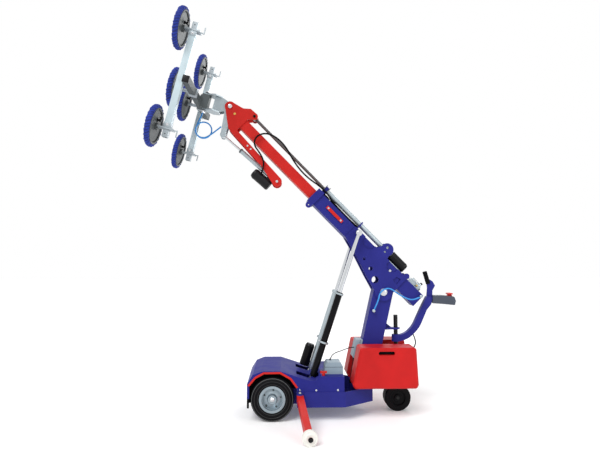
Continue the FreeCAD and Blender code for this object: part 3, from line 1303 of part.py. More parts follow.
def make_rotor():
    tube_axis = "(rotor_face + rotor_plate + cross_tube_size / 2)"
    beam_axis = f"({tube_axis} + cross_tube_size)"
    bore = "cross_tube_size - 2 * tube_wall"
    tube_hollow = box((bore, "cross_tube_length - 6 * tube_wall", bore), (tube_axis, "0", "0"))
    tube = box(("cross_tube_size", "cross_tube_length", "cross_tube_size"), (tube_axis, "0", "0"))
    tube = cut(tube, tube_hollow)
    flange = bar("rotor_diameter", "rotor_plate", ("rotor_face + rotor_plate / 2", "0", "0"), "x")
    shaft = bar("rotor_shaft_diameter", "rotor_shaft_length",
                ("rotor_face - rotor_shaft_length / 2", "0", "0"), "x")
    node("cross_tube", fuse(tube, flange, shaft), HEAD)

    beams = []
    for side in ("", "-"):
        y = f"{side}beam_spread / 2"
        outer = box(("cross_tube_size", "cross_tube_size", "beam_length"), (beam_axis, y, "0"))
        inner = box((bore, bore, "2 * beam_length"), (beam_axis, y, "0"))
        beams.append(cut(outer, inner))
    node("cup_beams", group(*beams), HEAD)

    cup = [
        ("0", "-cup_back"),
        ("cup_boss_diameter / 2", "-cup_back"),
        ("cup_boss_diameter / 2", "-cup_plate * 1.6"),
        ("cup_diameter * 0.4", "-cup_plate * 1.6"),
        ("cup_diameter / 2", "-cup_plate * 0.6"),
        ("cup_diameter / 2", "0"),
        ("0", "0"),
    ]
    cover = [
        ("cover_hem_diameter / 2", "-cover_depth * 0.42"),
        ("cover_diameter * 0.46", "-cover_depth * 0.44"),
        ("cover_diameter * 0.495", "-cover_depth * 0.2"),
        ("cover_diameter / 2", "cover_depth * 0.12"),
        ("cover_diameter * 0.485", "cover_depth * 0.42"),
        ("cover_diameter * 0.44", "cover_depth * 0.56"),
        ("0", "cover_depth * 0.56 + cover_crown"),
        ("0", "seat_gap"),
        ("cup_diameter / 2 + seat_gap", "seat_gap"),
        ("cup_diameter / 2 + seat_gap", "-cup_plate * 0.6 - seat_gap"),
        ("cover_hem_diameter / 2", "-cup_plate * 1.6 - seat_gap"),
    ]
    cup_plane = size("cup_face") - size("cover_depth") / 2

    def cup_place(y, s):
        return HEAD * FreeCAD.Placement(Vector(cup_plane, y, s), FreeCAD.Rotation(Vector(0, 0, 1), -90))

    stem_front = "(cup_face - cover_depth / 2 - cup_back)"
    mounts = []
    covers = []
    for side in ("", "-"):
        y = f"{side}inner_cup_spread / 2"
        clamp_side = "cross_tube_size + 4 * tube_wall"
        clamp = cut(box((clamp_side, "arm_width * 0.8", clamp_side), (tube_axis, y, "0")),
                    box(("cross_tube_size", "2 * arm_width", "cross_tube_size"), (tube_axis, y, "0")))
        stem_start = f"({tube_axis} + cross_tube_size / 2 + tube_wall)"
        stem_length = f"({stem_front} - {stem_start} + cup_back / 2)"
        stem = bar("stem_diameter", stem_length, (f"{stem_start} + {stem_length} / 2", y, "0"), "x")
        dish = turned(cup)
        wrap = turned(cover)
        for piece in (dish, wrap):
            piece.Placement.Rotation = FreeCAD.Rotation(Vector(0, 0, 1), -90)
            piece.setExpression("Placement.Base.x", bound("cup_face - cover_depth / 2"))
            piece.setExpression("Placement.Base.y", bound(y))
        mounts.append(fuse(clamp, stem, dish))
        covers.append(wrap)
    node("inner_cup_mounts", group(*mounts), HEAD)
    node("inner_cup_covers", group(*covers), HEAD)

    fit = "(cross_tube_size - 2 * tube_wall - 2 * seat_gap)"
    slide_bore = f"{fit} - 2 * tube_wall"
    end = "(beam_length / 2 + extension_show)"
    arm_level = "(beam_length / 2 + seat_gap + arm_plate / 2)"
    for level, up in (("upper", ""), ("lower", "-")):
        for label, side in (("left", ""), ("right", "-")):
            y = f"{side}beam_spread / 2"
            z = f"{up}({end} - extension_length / 2)"
            slide = cut(box((fit, fit, "extension_length"), (beam_axis, y, z)),
                        box((slide_bore, slide_bore, "2 * extension_length"), (beam_axis, y, z)))
            arm_back = f"({beam_axis} - arm_reach)"
            arm_length = f"({stem_front} + cup_back / 4 - {arm_back})"
            arm = box((arm_length, "arm_width", "arm_plate"),
                      (f"{arm_back} + {arm_length} / 2", y, f"{up}{arm_level}"))
            hollow = box((slide_bore, slide_bore, "2 * arm_plate"), (beam_axis, y, f"{up}{arm_level}"))
            dish = turned(cup)
            dish.Placement.Rotation = FreeCAD.Rotation(Vector(0, 0, 1), -90)
            dish.setExpression("Placement.Base.x", bound("cup_face - cover_depth / 2"))
            dish.setExpression("Placement.Base.y", bound(y))
            dish.setExpression("Placement.Base.z", bound(f"{up}{arm_level}"))
            screw = bar("arm_plate * 0.8", "arm_reach * 0.5",
                        (f"{arm_back} - arm_reach * 0.2", y, f"{up}{arm_level}"), "x")
            handle = bar("arm_plate * 0.8", "arm_reach",
                         (f"{arm_back} - arm_reach * 0.45", y, f"{up}({arm_level} + arm_reach * 0.4)"), "z")
            node(f"cup_arm_{level}_{label}", fuse(slide, cut(arm, hollow), dish, screw, handle), HEAD)
            sign_y = 1 if label == "left" else -1
            sign_s = 1 if level == "upper" else -1
            s = sign_s * (size("beam_length") / 2 + size("seat_gap") + size("arm_plate") / 2)
            node(f"cup_cover_{level}_{label}", turned(cover), cup_place(sign_y * size("beam_spread") / 2, s))


# The vacuum hose's loop below the head, in the head's frame: corners round one turn, its first
# corner, its size and centre, and how it drifts sideways
LOOP_STEPS = 12
LOOP_START = -120
LOOP_RADIUS = 82
LOOP_OUT = 200
LOOP_DROP = 285
LOOP_SIDE = 38
LOOP_PITCH = 2


def make_hoses():
    side = size("hose_side")
    hose("column_hose", [Vector(x, side, z) for x, z in (
        (-1072, 1084.6), (-1015, 1055), (-940, 1072), (-864, 1116), (-775, 1180),
        (-690, 1138), (-670, 1046), (-630.9, 967.8),
    )], size("vacuum_hose_diameter"))
    loop = []
    for step in range(LOOP_STEPS + 5):
        angle = math.radians(LOOP_START + step * 360 / LOOP_STEPS)
        loop.append((LOOP_OUT + LOOP_RADIUS * math.cos(angle), LOOP_SIDE - LOOP_PITCH * step,
                     LOOP_RADIUS * math.sin(angle) - LOOP_DROP))
    route = [(37.3, 41, -212), (90, 40, -283), (130, 39, -330)] + loop + [
        (282, 5, -240), (272, 3, -185), (260, 1, -138), (258, 0, -94.6)]
    hose("head_hose", [HEAD.multVec(Vector(*point)) for point in route], size("vacuum_hose_diameter"))
    hose("boom_cable", [BOOM.multVec(Vector(*point)) for point in (
        (619, 52, 270), (700, 54, 264), (820, 58, 263), (940, 55, 266), (1045, 57, 286), (1165, 63, 288),
        (1275, 74, 262), (1400, 84, 256), (1530, 86, 276), (1640, 86, 310),
        (1745, 86, 322), (1840, 86, 308), (1918, 86, 262), (1950, 86, 178), (1905, 86, 105),
        (1800, 87, 92), (1715, 87, 62), (1672, 86, 5), (1651.1, 47, -42.8),
    )], size("boom_cable_diameter"))
    hose("tiller_cable", [Vector(*point) for point in (
        (-709.6, 36, 622), (-796, 44, 582), (-895, 45, 556), (-985, 34, 556),
        (-1040, 26, 600), (-1054, 14.5, 664), (-1028.5, 0.3, 720.2),
    )], size("tiller_cable_diameter"))
    hose("charger_cable", [Vector(*point) for point in (
        (-205, 120, 500.4), (-215, 118, 537), (-255, 108, 564), (-310, 92, 577),
        (-365, 74, 594), (-405, 58, 604), (-442.8, 50, 603),
    )], size("charger_cable_diameter"))


make_chassis()
make_cover()
make_wheels()
make_column()
make_boxes()
make_outriggers()
make_steering()
make_boom()
make_inner_boom()
make_lift()
make_tilt()
make_yoke()
make_rotor()
make_hoses()

doc.recompute()
faults = [item.Name for item in doc.Objects if {"Invalid", "Error"} & set(item.State)]
if faults:
    raise RuntimeError(f"failed features: {faults}")
for feature in nodes:
    if feature.Shape.isNull() or not feature.Shape.isValid() or not feature.Shape.Solids:
        raise RuntimeError(f"{feature.Label} has no sound shape")
os.makedirs("parts", exist_ok=True)
for feature in nodes:
    feature.Shape.exportStep(f"parts/{feature.Label}.step")
print(f"{len(nodes)} nodes, {sum(len(feature.Shape.Solids) for feature in nodes)} solids")
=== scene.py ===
import math

import bmesh
import bpy
from mathutils import Matrix, Vector


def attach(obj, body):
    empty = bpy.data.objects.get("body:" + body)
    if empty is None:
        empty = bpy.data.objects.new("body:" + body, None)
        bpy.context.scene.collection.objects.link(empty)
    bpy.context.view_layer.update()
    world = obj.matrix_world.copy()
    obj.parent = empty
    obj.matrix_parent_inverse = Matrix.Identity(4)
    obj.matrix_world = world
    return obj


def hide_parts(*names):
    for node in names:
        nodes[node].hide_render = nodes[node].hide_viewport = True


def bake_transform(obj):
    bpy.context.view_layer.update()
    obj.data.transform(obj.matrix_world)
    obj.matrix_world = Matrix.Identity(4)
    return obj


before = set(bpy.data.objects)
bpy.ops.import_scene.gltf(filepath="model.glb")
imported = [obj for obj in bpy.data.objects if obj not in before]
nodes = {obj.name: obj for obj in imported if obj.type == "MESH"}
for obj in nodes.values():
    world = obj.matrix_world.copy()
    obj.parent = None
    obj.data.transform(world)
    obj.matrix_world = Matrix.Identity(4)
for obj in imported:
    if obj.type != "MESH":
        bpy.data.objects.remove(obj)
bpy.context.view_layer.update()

X = Vector((1, 0, 0))
Y = Vector((0, 1, 0))
Z = Vector((0, 0, 1))
SIDES = (("left", 1), ("right", -1))
LEVELS = (("upper", 1), ("lower", -1))
BOTH_WAYS = (1, -1)


def slanted(degrees):
    """The direction of a line that rises at an angle from X, and the one square to it."""
    angle = math.radians(degrees)
    return Vector((math.cos(angle), 0, math.sin(angle))), Vector((-math.sin(angle), 0, math.cos(angle)))


# The boom's own frame: along it from the pivot, and square to it
PIVOT = Vector((-0.728, 0, 1.132))
ALONG, ABOVE = slanted(degrees=45.5)


def boom(along, y, above):
    return PIVOT + ALONG * along + Y * y + ABOVE * above


# The head's own frame: out along the cups' axis from the tip pin, and up along the beams
TIP_ALONG = 2.347
TIP_ABOVE = 0.208
TIP = boom(TIP_ALONG, 0, TIP_ABOVE)
OUT, UP = slanted(degrees=14)


def head(out, y, up):
    return TIP + OUT * out + Y * y + UP * up


# The lift actuators lean back from their feet, the motor in front of the right one
LIFT_ALONG, LIFT_REAR = slanted(degrees=108.376)
LIFT_FRONT = -LIFT_REAR
LIFT_FOOT = Vector((-0.029, 0, 0.330))
LIFT_SPREAD = 0.150
LIFT_MOTOR_REAR = 0.033

# The tilt actuator runs from the head plates' lower lobe, its motor below it
TILT_ALONG, TILT_ABOVE = slanted(degrees=41.371)
LOBE_ALONG = 1.490
LOBE_ABOVE = 0.017
TILT_FOOT = boom(LOBE_ALONG, 0, LOBE_ABOVE)

# Middles of the front wheels' axle and of the drive wheel
WHEEL_CENTRE = Vector((0.335, 0, 0.195))
DRIVE_CENTRE = Vector((-0.860, 0, 0.125))


# Shader helpers

# The middle part of a noise's range, which holds nearly all of it
NOISE_LOW = 0.3
NOISE_HIGH = 0.7


def new_material(name):
    material = bpy.data.materials.new(name)
    material.use_nodes = True
    return material, material.node_tree, material.node_tree.nodes["Principled BSDF"]


def add(tree, kind, **values):
    """A shader node with its sockets and settings given by name."""
    made = tree.nodes.new(f"ShaderNode{kind}")
    for key, value in values.items():
        if hasattr(made, key):
            setattr(made, key, value)
        else:
            made.inputs[key.replace("_", " ")].default_value = value
    return made


def feed(tree, socket, value):
    """Give a socket its value, which may be a constant or another socket."""
    if isinstance(value, bpy.types.NodeSocket):
        tree.links.new(value, socket)
    else:
        socket.default_value = value


def maths(tree, operation, first, second=0.0, third=0.0):
    """The result of one sum on values that may each be a constant or a socket."""
    made = add(tree, "Math", operation=operation)
    for socket, value in zip(made.inputs, (first, second, third)):
        feed(tree, socket, value)
    return made.outputs["Value"]


def mixed(tree, factor, first, second, kind="FLOAT"):
    """One value or colour that changes to another by a factor. Each may be a constant or a socket."""
    mix = add(tree, "Mix", data_type=kind)
    sockets = [socket for socket in mix.inputs if socket.enabled]
    for socket, value in zip(sockets, (factor, first, second)):
        feed(tree, socket, value)
    return next(socket for socket in mix.outputs if socket.enabled)


def between(tree, factor, low, high, start=NOISE_LOW, end=NOISE_HIGH):
    """A value that runs from low to high while a factor runs from its start to its end."""
    made = add(tree, "MapRange", From_Min=start, From_Max=end, To_Min=low, To_Max=high)
    tree.links.new(factor, made.inputs["Value"])
    return made.outputs["Result"]


def own_place(tree):
    return add(tree, "TexCoord").outputs["Object"]


def noise(tree, scale, detail, stretch=(1, 1, 1)):
    mapping = add(tree, "Mapping", Scale=stretch)
    made = add(tree, "TexNoise", Scale=scale, Detail=detail)
    tree.links.new(own_place(tree), mapping.inputs["Vector"])
    tree.links.new(mapping.outputs["Vector"], made.inputs["Vector"])
    return made.outputs["Fac"]


def toned(tree, factor, colour, low, high):
    """A colour that changes from one share of its brightness to another by a factor."""
    ends = [tuple(min(1.0, channel * share) for channel in colour) + (1.0,) for share in (low, high)]
    return mixed(tree, factor, *ends, "RGBA")


def bump(tree, shader, height, strength, distance):
    made = add(tree, "Bump", Strength=strength, Distance=distance)
    tree.links.new(height, made.inputs["Height"])
    tree.links.new(made.outputs["Normal"], shader.inputs["Normal"])


def projected(tree, direction):
    """How far each spot of a surface lies along a direction."""
    made = add(tree, "VectorMath", operation="DOT_PRODUCT")
    tree.links.new(own_place(tree), made.inputs[0])
    made.inputs[1].default_value = direction
    return made.outputs["Value"]


def measured(tree, direction, origin):
    """How far each spot of a surface lies along a direction from an origin."""
    return maths(tree, "SUBTRACT", projected(tree, direction), origin.dot(direction))


def beyond(tree, direction, level):
    """A factor of 1 where the piece lies past a level along a direction, and 0 before it."""
    return maths(tree, "GREATER_THAN", projected(tree, direction), level)


def distance(tree, first, second):
    """The length of a line with these two square parts."""
    squares = maths(tree, "MULTIPLY_ADD", first, first, maths(tree, "MULTIPLY", second, second))
    return maths(tree, "SQRT", squares)


# Materials

GLOSS_SWING = 0.15


def finish(name, colour, rough, metal=0.0, tone=0.08, grain=300, depth=0.08, gloss=0.3, coat=0.0,
           stretch=(1, 1, 1), other=None, where=None):
    """A surface with slow colour change, uneven gloss and a fine grain.

    Where a rule is given, the other colour, roughness and metal take over in the region that it marks."""
    material, tree, shader = new_material(name)
    shader.inputs["Metallic"].default_value = metal
    shader.inputs["Specular IOR Level"].default_value = gloss
    shader.inputs["Coat Weight"].default_value = coat
    shader.inputs["Coat Roughness"].default_value = 0.12
    slow = noise(tree, scale=7, detail=4)
    mottle = between(tree, slow, 0, 1)
    paint = toned(tree, mottle, colour, 1 - tone, 1 + tone)
    uneven = between(tree, slow, rough * (1 - GLOSS_SWING), rough * (1 + GLOSS_SWING))
    if where:
        region = where(tree)
        second, second_rough, second_metal = other
        patch = toned(tree, mottle, second, 1 - tone, 1 + tone)
        paint = mixed(tree, region, paint, patch, "RGBA")
        uneven = mixed(tree, region, uneven, second_rough)
        tree.links.new(mixed(tree, region, metal, second_metal), shader.inputs["Metallic"])
    tree.links.new(paint, shader.inputs["Base Color"])
    tree.links.new(uneven, shader.inputs["Roughness"])
    fine = noise(tree, grain, detail=2, stretch=stretch)
    bump(tree, shader, fine, depth, distance=0.0006)
    return material


def ringed(name, colour, rough, centre, spacing, height, metal=0.0):
    """A turned or moulded surface whose fine rings about an axle along Y take the place of the grain."""
    material = finish(name, colour, rough, metal, gloss=0.08)
    tree = material.node_tree
    radius = distance(tree, measured(tree, X, centre), measured(tree, Z, centre))
    ring = maths(tree, "SINE", maths(tree, "MULTIPLY", radius, math.tau / spacing))
    bump(tree, tree.nodes["Principled BSDF"], ring, strength=0.5, distance=height)
    return material


# Where one node has two finishes: the cups' dishes out from the tip pin, the nose's skirt, and the
# telescope motor's can above the boom's pivot
DISH_BACK = 0.484
SKIRT_REAR = 0.500
SKIRT_TOP = 0.205
MOTOR_CAN_FOOT = 0.266


def lift_black(tree):
    """The left gas spring all over, and the right actuator's motor in front of its tube."""
    left = beyond(tree, Y, 0)
    motor = beyond(tree, LIFT_FRONT, LIFT_FOOT.dot(LIFT_FRONT) + LIFT_MOTOR_REAR)
    return maths(tree, "MAXIMUM", left, motor)


def cup_dish(tree):
    """The suction cups' dishes, in front of the arms that carry them."""
    return beyond(tree, OUT, TIP.dot(OUT) + DISH_BACK)


def nose_skirt(tree):
    """The rubber skirt along the foot of the nose."""
    return maths(tree, "MULTIPLY", beyond(tree, X, SKIRT_REAR), beyond(tree, -Z, -SKIRT_TOP))


def gearbox_end(tree):
    """The telescope motor's foot, below its can."""
    return beyond(tree, -ABOVE, -PIVOT.dot(ABOVE) - MOTOR_CAN_FOOT)


VIOLET = (0.022, 0.024, 0.195)
RED = (0.52, 0.014, 0.010)
JET = (0.004, 0.004, 0.005)
SILVER = (0.40, 0.46, 0.49)
CUP_GREY = (0.095, 0.105, 0.108)
CLOTH_BLUE = (0.011, 0.035, 0.34)

PAINT_BLUE = finish("violet_blue_paint", VIOLET, rough=0.42, grain=900, depth=0.05, gloss=0.09)
PAINT_COVER = finish("cover_paint", VIOLET, rough=0.42, grain=900, depth=0.05, gloss=0.045,
                     other=(JET, 0.6, 0.0), where=nose_skirt)
PAINT_RED = finish("bright_red_paint", RED, rough=0.42, grain=900, depth=0.05, gloss=0.22)
CASE_RED = finish("moulded_red_case", (0.49, 0.011, 0.011), rough=0.50, grain=1400, depth=0.12, gloss=0.16)
CASE_GREY = finish("moulded_grey_case", (0.26, 0.335, 0.39), rough=0.5, grain=1400, depth=0.12)
BLACK = finish("moulded_black", JET, rough=0.42, grain=1200, depth=0.12, gloss=0.25)
RUBBER = finish("black_rubber", JET, rough=0.62, grain=1600, depth=0.2, gloss=0.06)
# A lighter grey rubber that is a painted highlight along the tyre's shoulder
PAINTED_HIGHLIGHT_RUBBER = finish("painted_highlight_rubber", (0.075, 0.080, 0.080), rough=0.5, tone=0.2, grain=1600, depth=0.2)
GLOSSY_RUBBER = finish("polished_rubber", JET, rough=0.34, grain=1600, depth=0.1, gloss=0.5)
POD_GREY = finish("moulded_dark_grey", (0.048, 0.058, 0.080), rough=0.42, grain=1200, depth=0.12)
ZINC = finish("zinc_plate", SILVER, rough=0.38, metal=0.6, tone=0.12, grain=120, depth=0.06)
LIFT = finish("actuator_bodies", SILVER, rough=0.30, metal=0.7, grain=500, depth=0.05, gloss=0.10,
              other=(JET, 0.24, 0.0), where=lift_black)
CHROME = finish("ground_chrome", (0.62, 0.64, 0.66), rough=0.16, metal=1.0, tone=0.04, grain=600, depth=0.02,
                stretch=(1, 1, 9))
DARK_CHROME = finish("shaded_chrome", (0.13, 0.12, 0.12), rough=0.24, metal=1.0, tone=0.04, grain=600,
                     depth=0.02)
STEEL = finish("plated_steel", (0.60, 0.61, 0.63), rough=0.28, metal=0.95, grain=700, depth=0.05)
CAST = finish("cast_iron", (0.05, 0.05, 0.055), rough=0.7, metal=0.4, grain=500, depth=0.3)
GALVANISED = finish("galvanised_tube", (0.50, 0.60, 0.64), rough=0.42, metal=0.35, tone=0.06, grain=160,
                    depth=0.06)
CUP_METAL = finish("cup_dish", CUP_GREY, rough=0.55, metal=0.25, grain=700, depth=0.05)
ARM = finish("cup_arm", (0.40, 0.45, 0.48), rough=0.40, metal=0.5, depth=0.06,
             other=(CUP_GREY, 0.55, 0.25), where=cup_dish)
DARK_STEEL = finish("dark_plated_steel", (0.11, 0.125, 0.13), rough=0.60, metal=0.25, tone=0.12, depth=0.06,
                    gloss=0.12)
MOTOR = finish("motor_and_gearbox", JET, rough=0.42, grain=1200, depth=0.12, gloss=0.14,
               other=(SILVER, 0.4, 0.6), where=gearbox_end)
NYLON = finish("white_nylon", (0.78, 0.77, 0.72), rough=0.5, tone=0.04, grain=900, depth=0.1)
BRASS = finish("brass", (0.70, 0.46, 0.12), rough=0.3, metal=1.0)
HOSE = finish("light_blue_hose", (0.035, 0.25, 0.62), rough=0.35, grain=1500, coat=0.1)
TYRE = ringed("ribbed_tyre", JET, rough=0.6, centre=WHEEL_CENTRE, spacing=0.016, height=0.0012)
RIM = ringed("pressed_rim", (0.30, 0.36, 0.40), rough=0.32, centre=WHEEL_CENTRE, spacing=0.005,
             height=0.0003, metal=0.75)
DRIVE_TYRE = ringed("solid_tyre", JET, rough=0.55, centre=DRIVE_CENTRE, spacing=0.012, height=0.0008)

FINISHES = {
    PAINT_BLUE: ("chassis_tray", "column", "outer_boom", "boom_side_plates", "boom_collar", "tiller_arm"),
    PAINT_COVER: ("body_cover",),
    PAINT_RED: ("arch_trims", "inner_boom", "head_plates", "outrigger_leg_left", "outrigger_leg_right",
                "isolator_key", "thumb_throttle"),
    CASE_RED: ("battery_boxes",),
    CASE_GREY: ("control_box", "charger_box"),
    BLACK: ("tilt_motor", "drive_fork"),
    POD_GREY: ("control_pod",),
    MOTOR: ("telescope_motor",),
    LIFT: ("lift_tubes",),
    RUBBER: ("handle_grip",),
    ZINC: ("tilt_tube", "telescope_tube", "tilt_yoke", "vacuum_unit"),
    GALVANISED: ("cup_beams",),
    DARK_STEEL: ("pan_block", "cross_tube"),
    CHROME: ("lift_rods", "tilt_rod"),
    DARK_CHROME: ("telescope_rod",),
    STEEL: ("pivot_pins", "front_axle", "head_pins"),
    CAST: ("ballast_slab",),
    ARM: ("inner_cup_mounts", "cup_arm_upper_left", "cup_arm_upper_right", "cup_arm_lower_left",
          "cup_arm_lower_right"),
    NYLON: ("roller_left", "roller_right"),
    TYRE: ("tyre_left", "tyre_right"),
    RIM: ("rim_left", "rim_right"),
    DRIVE_TYRE: ("drive_tyre", "drive_hub"),
}

# The record's material slot that each finish of a new piece belongs to
SLOTS = {
    STEEL: "bright_steel", ZINC: "bright_steel", DARK_STEEL: "bright_steel", BRASS: "bright_steel",
    BLACK: "black_plastic", PAINT_RED: "red_paint", CUP_METAL: "cup_metal", HOSE: "blue_hose",
    RUBBER: "black_rubber", PAINTED_HIGHLIGHT_RUBBER: "black_rubber", GLOSSY_RUBBER: "black_rubber",
}


def dress_frame():
    for material, names in FINISHES.items():
        for name in names:
            slots = nodes[name].data.materials
            slots.clear()
            slots.append(material)


# Building helpers

# Faces that meet at less than this many degrees are drawn as one smooth surface
SMOOTH_BELOW = 35
CRISP_BELOW = 30
SMOOTH_ALL_OVER = 180

# Steps round a turned form
ROUND = 48
LARGE_ROUND = 96
SMALL_ROUND = 24
TINY_ROUND = 16

# A bolt's height and its washer's radius as shares of the width across its flats
HEAD_SIDES = 6
HEAD_HEIGHT = 0.55
WASHER_RADIUS = 0.85
# Levels as shares of the bolt's height, and how far its top edges draw in
WASHER_EDGE = 0.22
WASHER_TOP = 0.3
HEAD_EDGE = 0.9
WASHER_EASE = 0.94
HEAD_EASE = 0.86

BAND_EASE = 0.25
PLAIN_BEVEL = 0.002
THIN_BEVEL = 0.001
SEAM_BEVEL = 0.0005
CAP_EDGE = 0.003
CAP_HEIGHT = 0.005


def placed(name, data):
    """A new object in the scene."""
    made = bpy.data.objects.new(name, data)
    bpy.context.scene.collection.objects.link(made)
    return made


def piece(name, form, material, body, slot=None, smooth=SMOOTH_BELOW):
    """A finished form as a piece that rides on one body. Its slot is worked out but not used."""
    slot = slot or SLOTS[material]
    mesh = bpy.data.meshes.new(name)
    form.to_mesh(mesh)
    form.free()
    made = placed(name, mesh)
    mesh.materials.append(material)
    mesh.shade_smooth()
    mesh.set_sharp_from_angle(angle=math.radians(smooth))
    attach(made, body)
    return made


def mirrored(spot, side):
    """A spot of the left side, on the side that is asked for."""
    return Vector((spot.x, side * spot.y, spot.z))


def facing(spot, axis):
    """The transform that lays a form's own Z along an axis at a spot."""
    return Matrix.Translation(spot) @ axis.to_track_quat("Z", "Y").to_matrix().to_4x4()


def lathe(form, profile, place, steps=ROUND, hollow=False):
    """Spin (radius, height) points about the place's own Z and add them to a form.

    A solid form is closed by flat ends, and a hollow one by joining its last ring to its first."""
    rings = []
    for radius, height in profile:
        ring = []
        for i in range(steps):
            turn = math.tau * i / steps
            spot = Vector((radius * math.cos(turn), radius * math.sin(turn), height))
            ring.append(form.verts.new(place @ spot))
        rings.append(ring)
    loops = rings + rings[:1] if hollow else rings
    for lower, upper in zip(loops, loops[1:]):
        for i in range(steps):
            after = (i + 1) % steps
            form.faces.new((lower[i], lower[after], upper[after], upper[i]))
    if not hollow:
        form.faces.new(rings[-1])
        form.faces.new(rings[0][::-1])


def turned(name, profiles, material, body, steps=ROUND, hollow=False):
    """Round forms as one piece: each profile comes with the place that it spins about."""
    form = bmesh.new()
    for profile, place in profiles:
        lathe(form, profile, place, steps, hollow)
    return piece(name, form, material, body)


def bolt_head(form, spot, axis, across):
    """A washer under a six-sided head with a chamfered top."""
    place = facing(spot, axis)
    tall = across * HEAD_HEIGHT
    seat = tall * WASHER_TOP
    washer = across * WASHER_RADIUS
    lathe(form, [(washer, 0), (washer, tall * WASHER_EDGE), (washer * WASHER_EASE, seat)], place, SMALL_ROUND)
    corner = across / 2 / math.cos(math.pi / HEAD_SIDES)
    lathe(form, [(corner, seat), (corner, tall * HEAD_EDGE), (corner * HEAD_EASE, tall)], place, HEAD_SIDES)


def bolts(name, spots, across, body, material=STEEL):
    """Bolt heads as one piece: each spot is a place and the way that its head faces."""
    form = bmesh.new()
    for spot, axis in spots:
        bolt_head(form, spot, axis, across)
    return piece(name, form, material, body, smooth=CRISP_BELOW)


def band(inner, outer, width):
    """The profile of a plain ring about its own middle, with eased outer edges."""
    half = width / 2
    ease = min(width, outer - inner) * BAND_EASE
    return [(inner, -half), (outer - ease, -half), (outer, ease - half),
            (outer, half - ease), (outer - ease, half), (inner, half)]


def cap(radius, crown):
    """The profile of a pin's cap: its radius, and the radius of its flat crown."""
    return [(radius, 0), (radius, CAP_EDGE), (crown, CAP_HEIGHT)]


def block(name, spots, lengths, axes, material, body, bevel=PLAIN_BEVEL):
    """Blocks with eased edges as one piece, each about a spot, along the given axes."""
    form = bmesh.new()
    turn = Matrix(axes).transposed().to_4x4()
    for spot in spots:
        place = Matrix.Translation(spot) @ turn @ Matrix.Diagonal((*lengths, 1))
        bmesh.ops.create_cube(form, size=1, matrix=place)
    bmesh.ops.bevel(form, geom=form.edges[:], offset=bevel, segments=2, affect="EDGES", profile=0.6)
    return piece(name, form, material, body)


def sheet_plate(name, outline, near, far, material, body):
    """A flat upright sheet: its outline in X and Z, and the sideways levels of its two faces."""
    form = bmesh.new()
    faces = [[form.verts.new((x, y, z)) for x, z in outline] for y in (near, far)]
    form.faces.new(faces[0])
    form.faces.new(faces[1][::-1])
    count = len(outline)
    for i in range(count):
        after = (i + 1) % count
        form.faces.new((faces[0][after], faces[0][i], faces[1][i], faces[1][after]))
    bmesh.ops.recalc_face_normals(form, faces=form.faces[:])
    return piece(name, form, material, body, smooth=CRISP_BELOW)


# Hoses and cables

HOSE_SIDE = 0.112
VACUUM_HOSE = 0.014
MOTOR_CABLE = 0.016
CONTROL_CABLE = 0.012
CHARGING_LEAD = 0.008

# The vacuum hose's loop below the head, in the head's frame: corners round one turn and beyond it,
# its first corner, its size and centre, and how it drifts sideways
LOOP_STEPS = 12
LOOP_OVERLAP = 5
LOOP_START = -120
LOOP_RADIUS = 0.082
LOOP_OUT = 0.200
LOOP_DROP = 0.285
LOOP_SIDE = 0.038
LOOP_PITCH = 0.002


def route_curve(name, points, thickness=0.0):
    curve = bpy.data.curves.new(name, "CURVE")
    curve.dimensions = "3D"
    spline = curve.splines.new("NURBS")
    spline.points.add(len(points) - 1)
    for control, spot in zip(spline.points, points):
        control.co = (*spot, 1.0)
    spline.order_u = 3
    spline.use_endpoint_u = True
    curve.resolution_u = 16
    curve.bevel_depth = thickness / 2
    curve.bevel_resolution = 6
    curve.use_fill_caps = True
    return curve


def cord(name, points, diameter, material, node, body, across=None):
    """A flexible line that stands for its solid. Where it crosses a joint it stays fixed in the scene, on
    neither body.
    """
    line = bpy.data.objects.new(f"{name}_line", route_curve(f"{name}_line", points))
    path = [vertex.co.copy() for vertex in bpy.data.meshes.new_from_object(line).vertices]
    bpy.data.objects.remove(line)
    tube = bpy.data.objects.new(f"{name}_tube", route_curve(f"{name}_tube", points, diameter))
    mesh = bpy.data.meshes.new_from_object(tube)
    bpy.data.objects.remove(tube)
    mesh.name = name
    made = placed(name, mesh)
    mesh.materials.clear()
    mesh.materials.append(material)
    mesh.shade_smooth()
    if across:
        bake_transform(made)
    else:
        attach(made, body)
    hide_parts(node)
    return made


def make_vacuum_hose():
    tail_to_column = [(-1.072, 1.0846), (-1.015, 1.055), (-0.940, 1.072), (-0.864, 1.116),
                      (-0.775, 1.180), (-0.690, 1.138), (-0.670, 1.046), (-0.6309, 0.9678)]
    points = [Vector((x, HOSE_SIDE, z)) for x, z in reversed(tail_to_column)]
    cord("vacuum_hose", points, VACUUM_HOSE, HOSE, "column_hose", "chassis", "boom")


def make_swivel_hose():
    lever_to_loop = [(0.0373, 0.041, -0.212), (0.090, 0.040, -0.283), (0.130, 0.039, -0.330)]
    loop = []
    for step in range(LOOP_STEPS + LOOP_OVERLAP):
        angle = math.radians(LOOP_START + step * 360 / LOOP_STEPS)
        loop.append((LOOP_OUT + LOOP_RADIUS * math.cos(angle), LOOP_SIDE - LOOP_PITCH * step,
                     LOOP_RADIUS * math.sin(angle) - LOOP_DROP))
    loop_to_swivel = [(0.282, 0.005, -0.240), (0.272, 0.003, -0.185), (0.260, 0.001, -0.138),
                      (0.258, 0, -0.0946)]
    points = [head(*spot) for spot in lever_to_loop + loop + loop_to_swivel]
    cord("swivel_hose", points, VACUUM_HOSE, HOSE, "head_hose", "yoke")


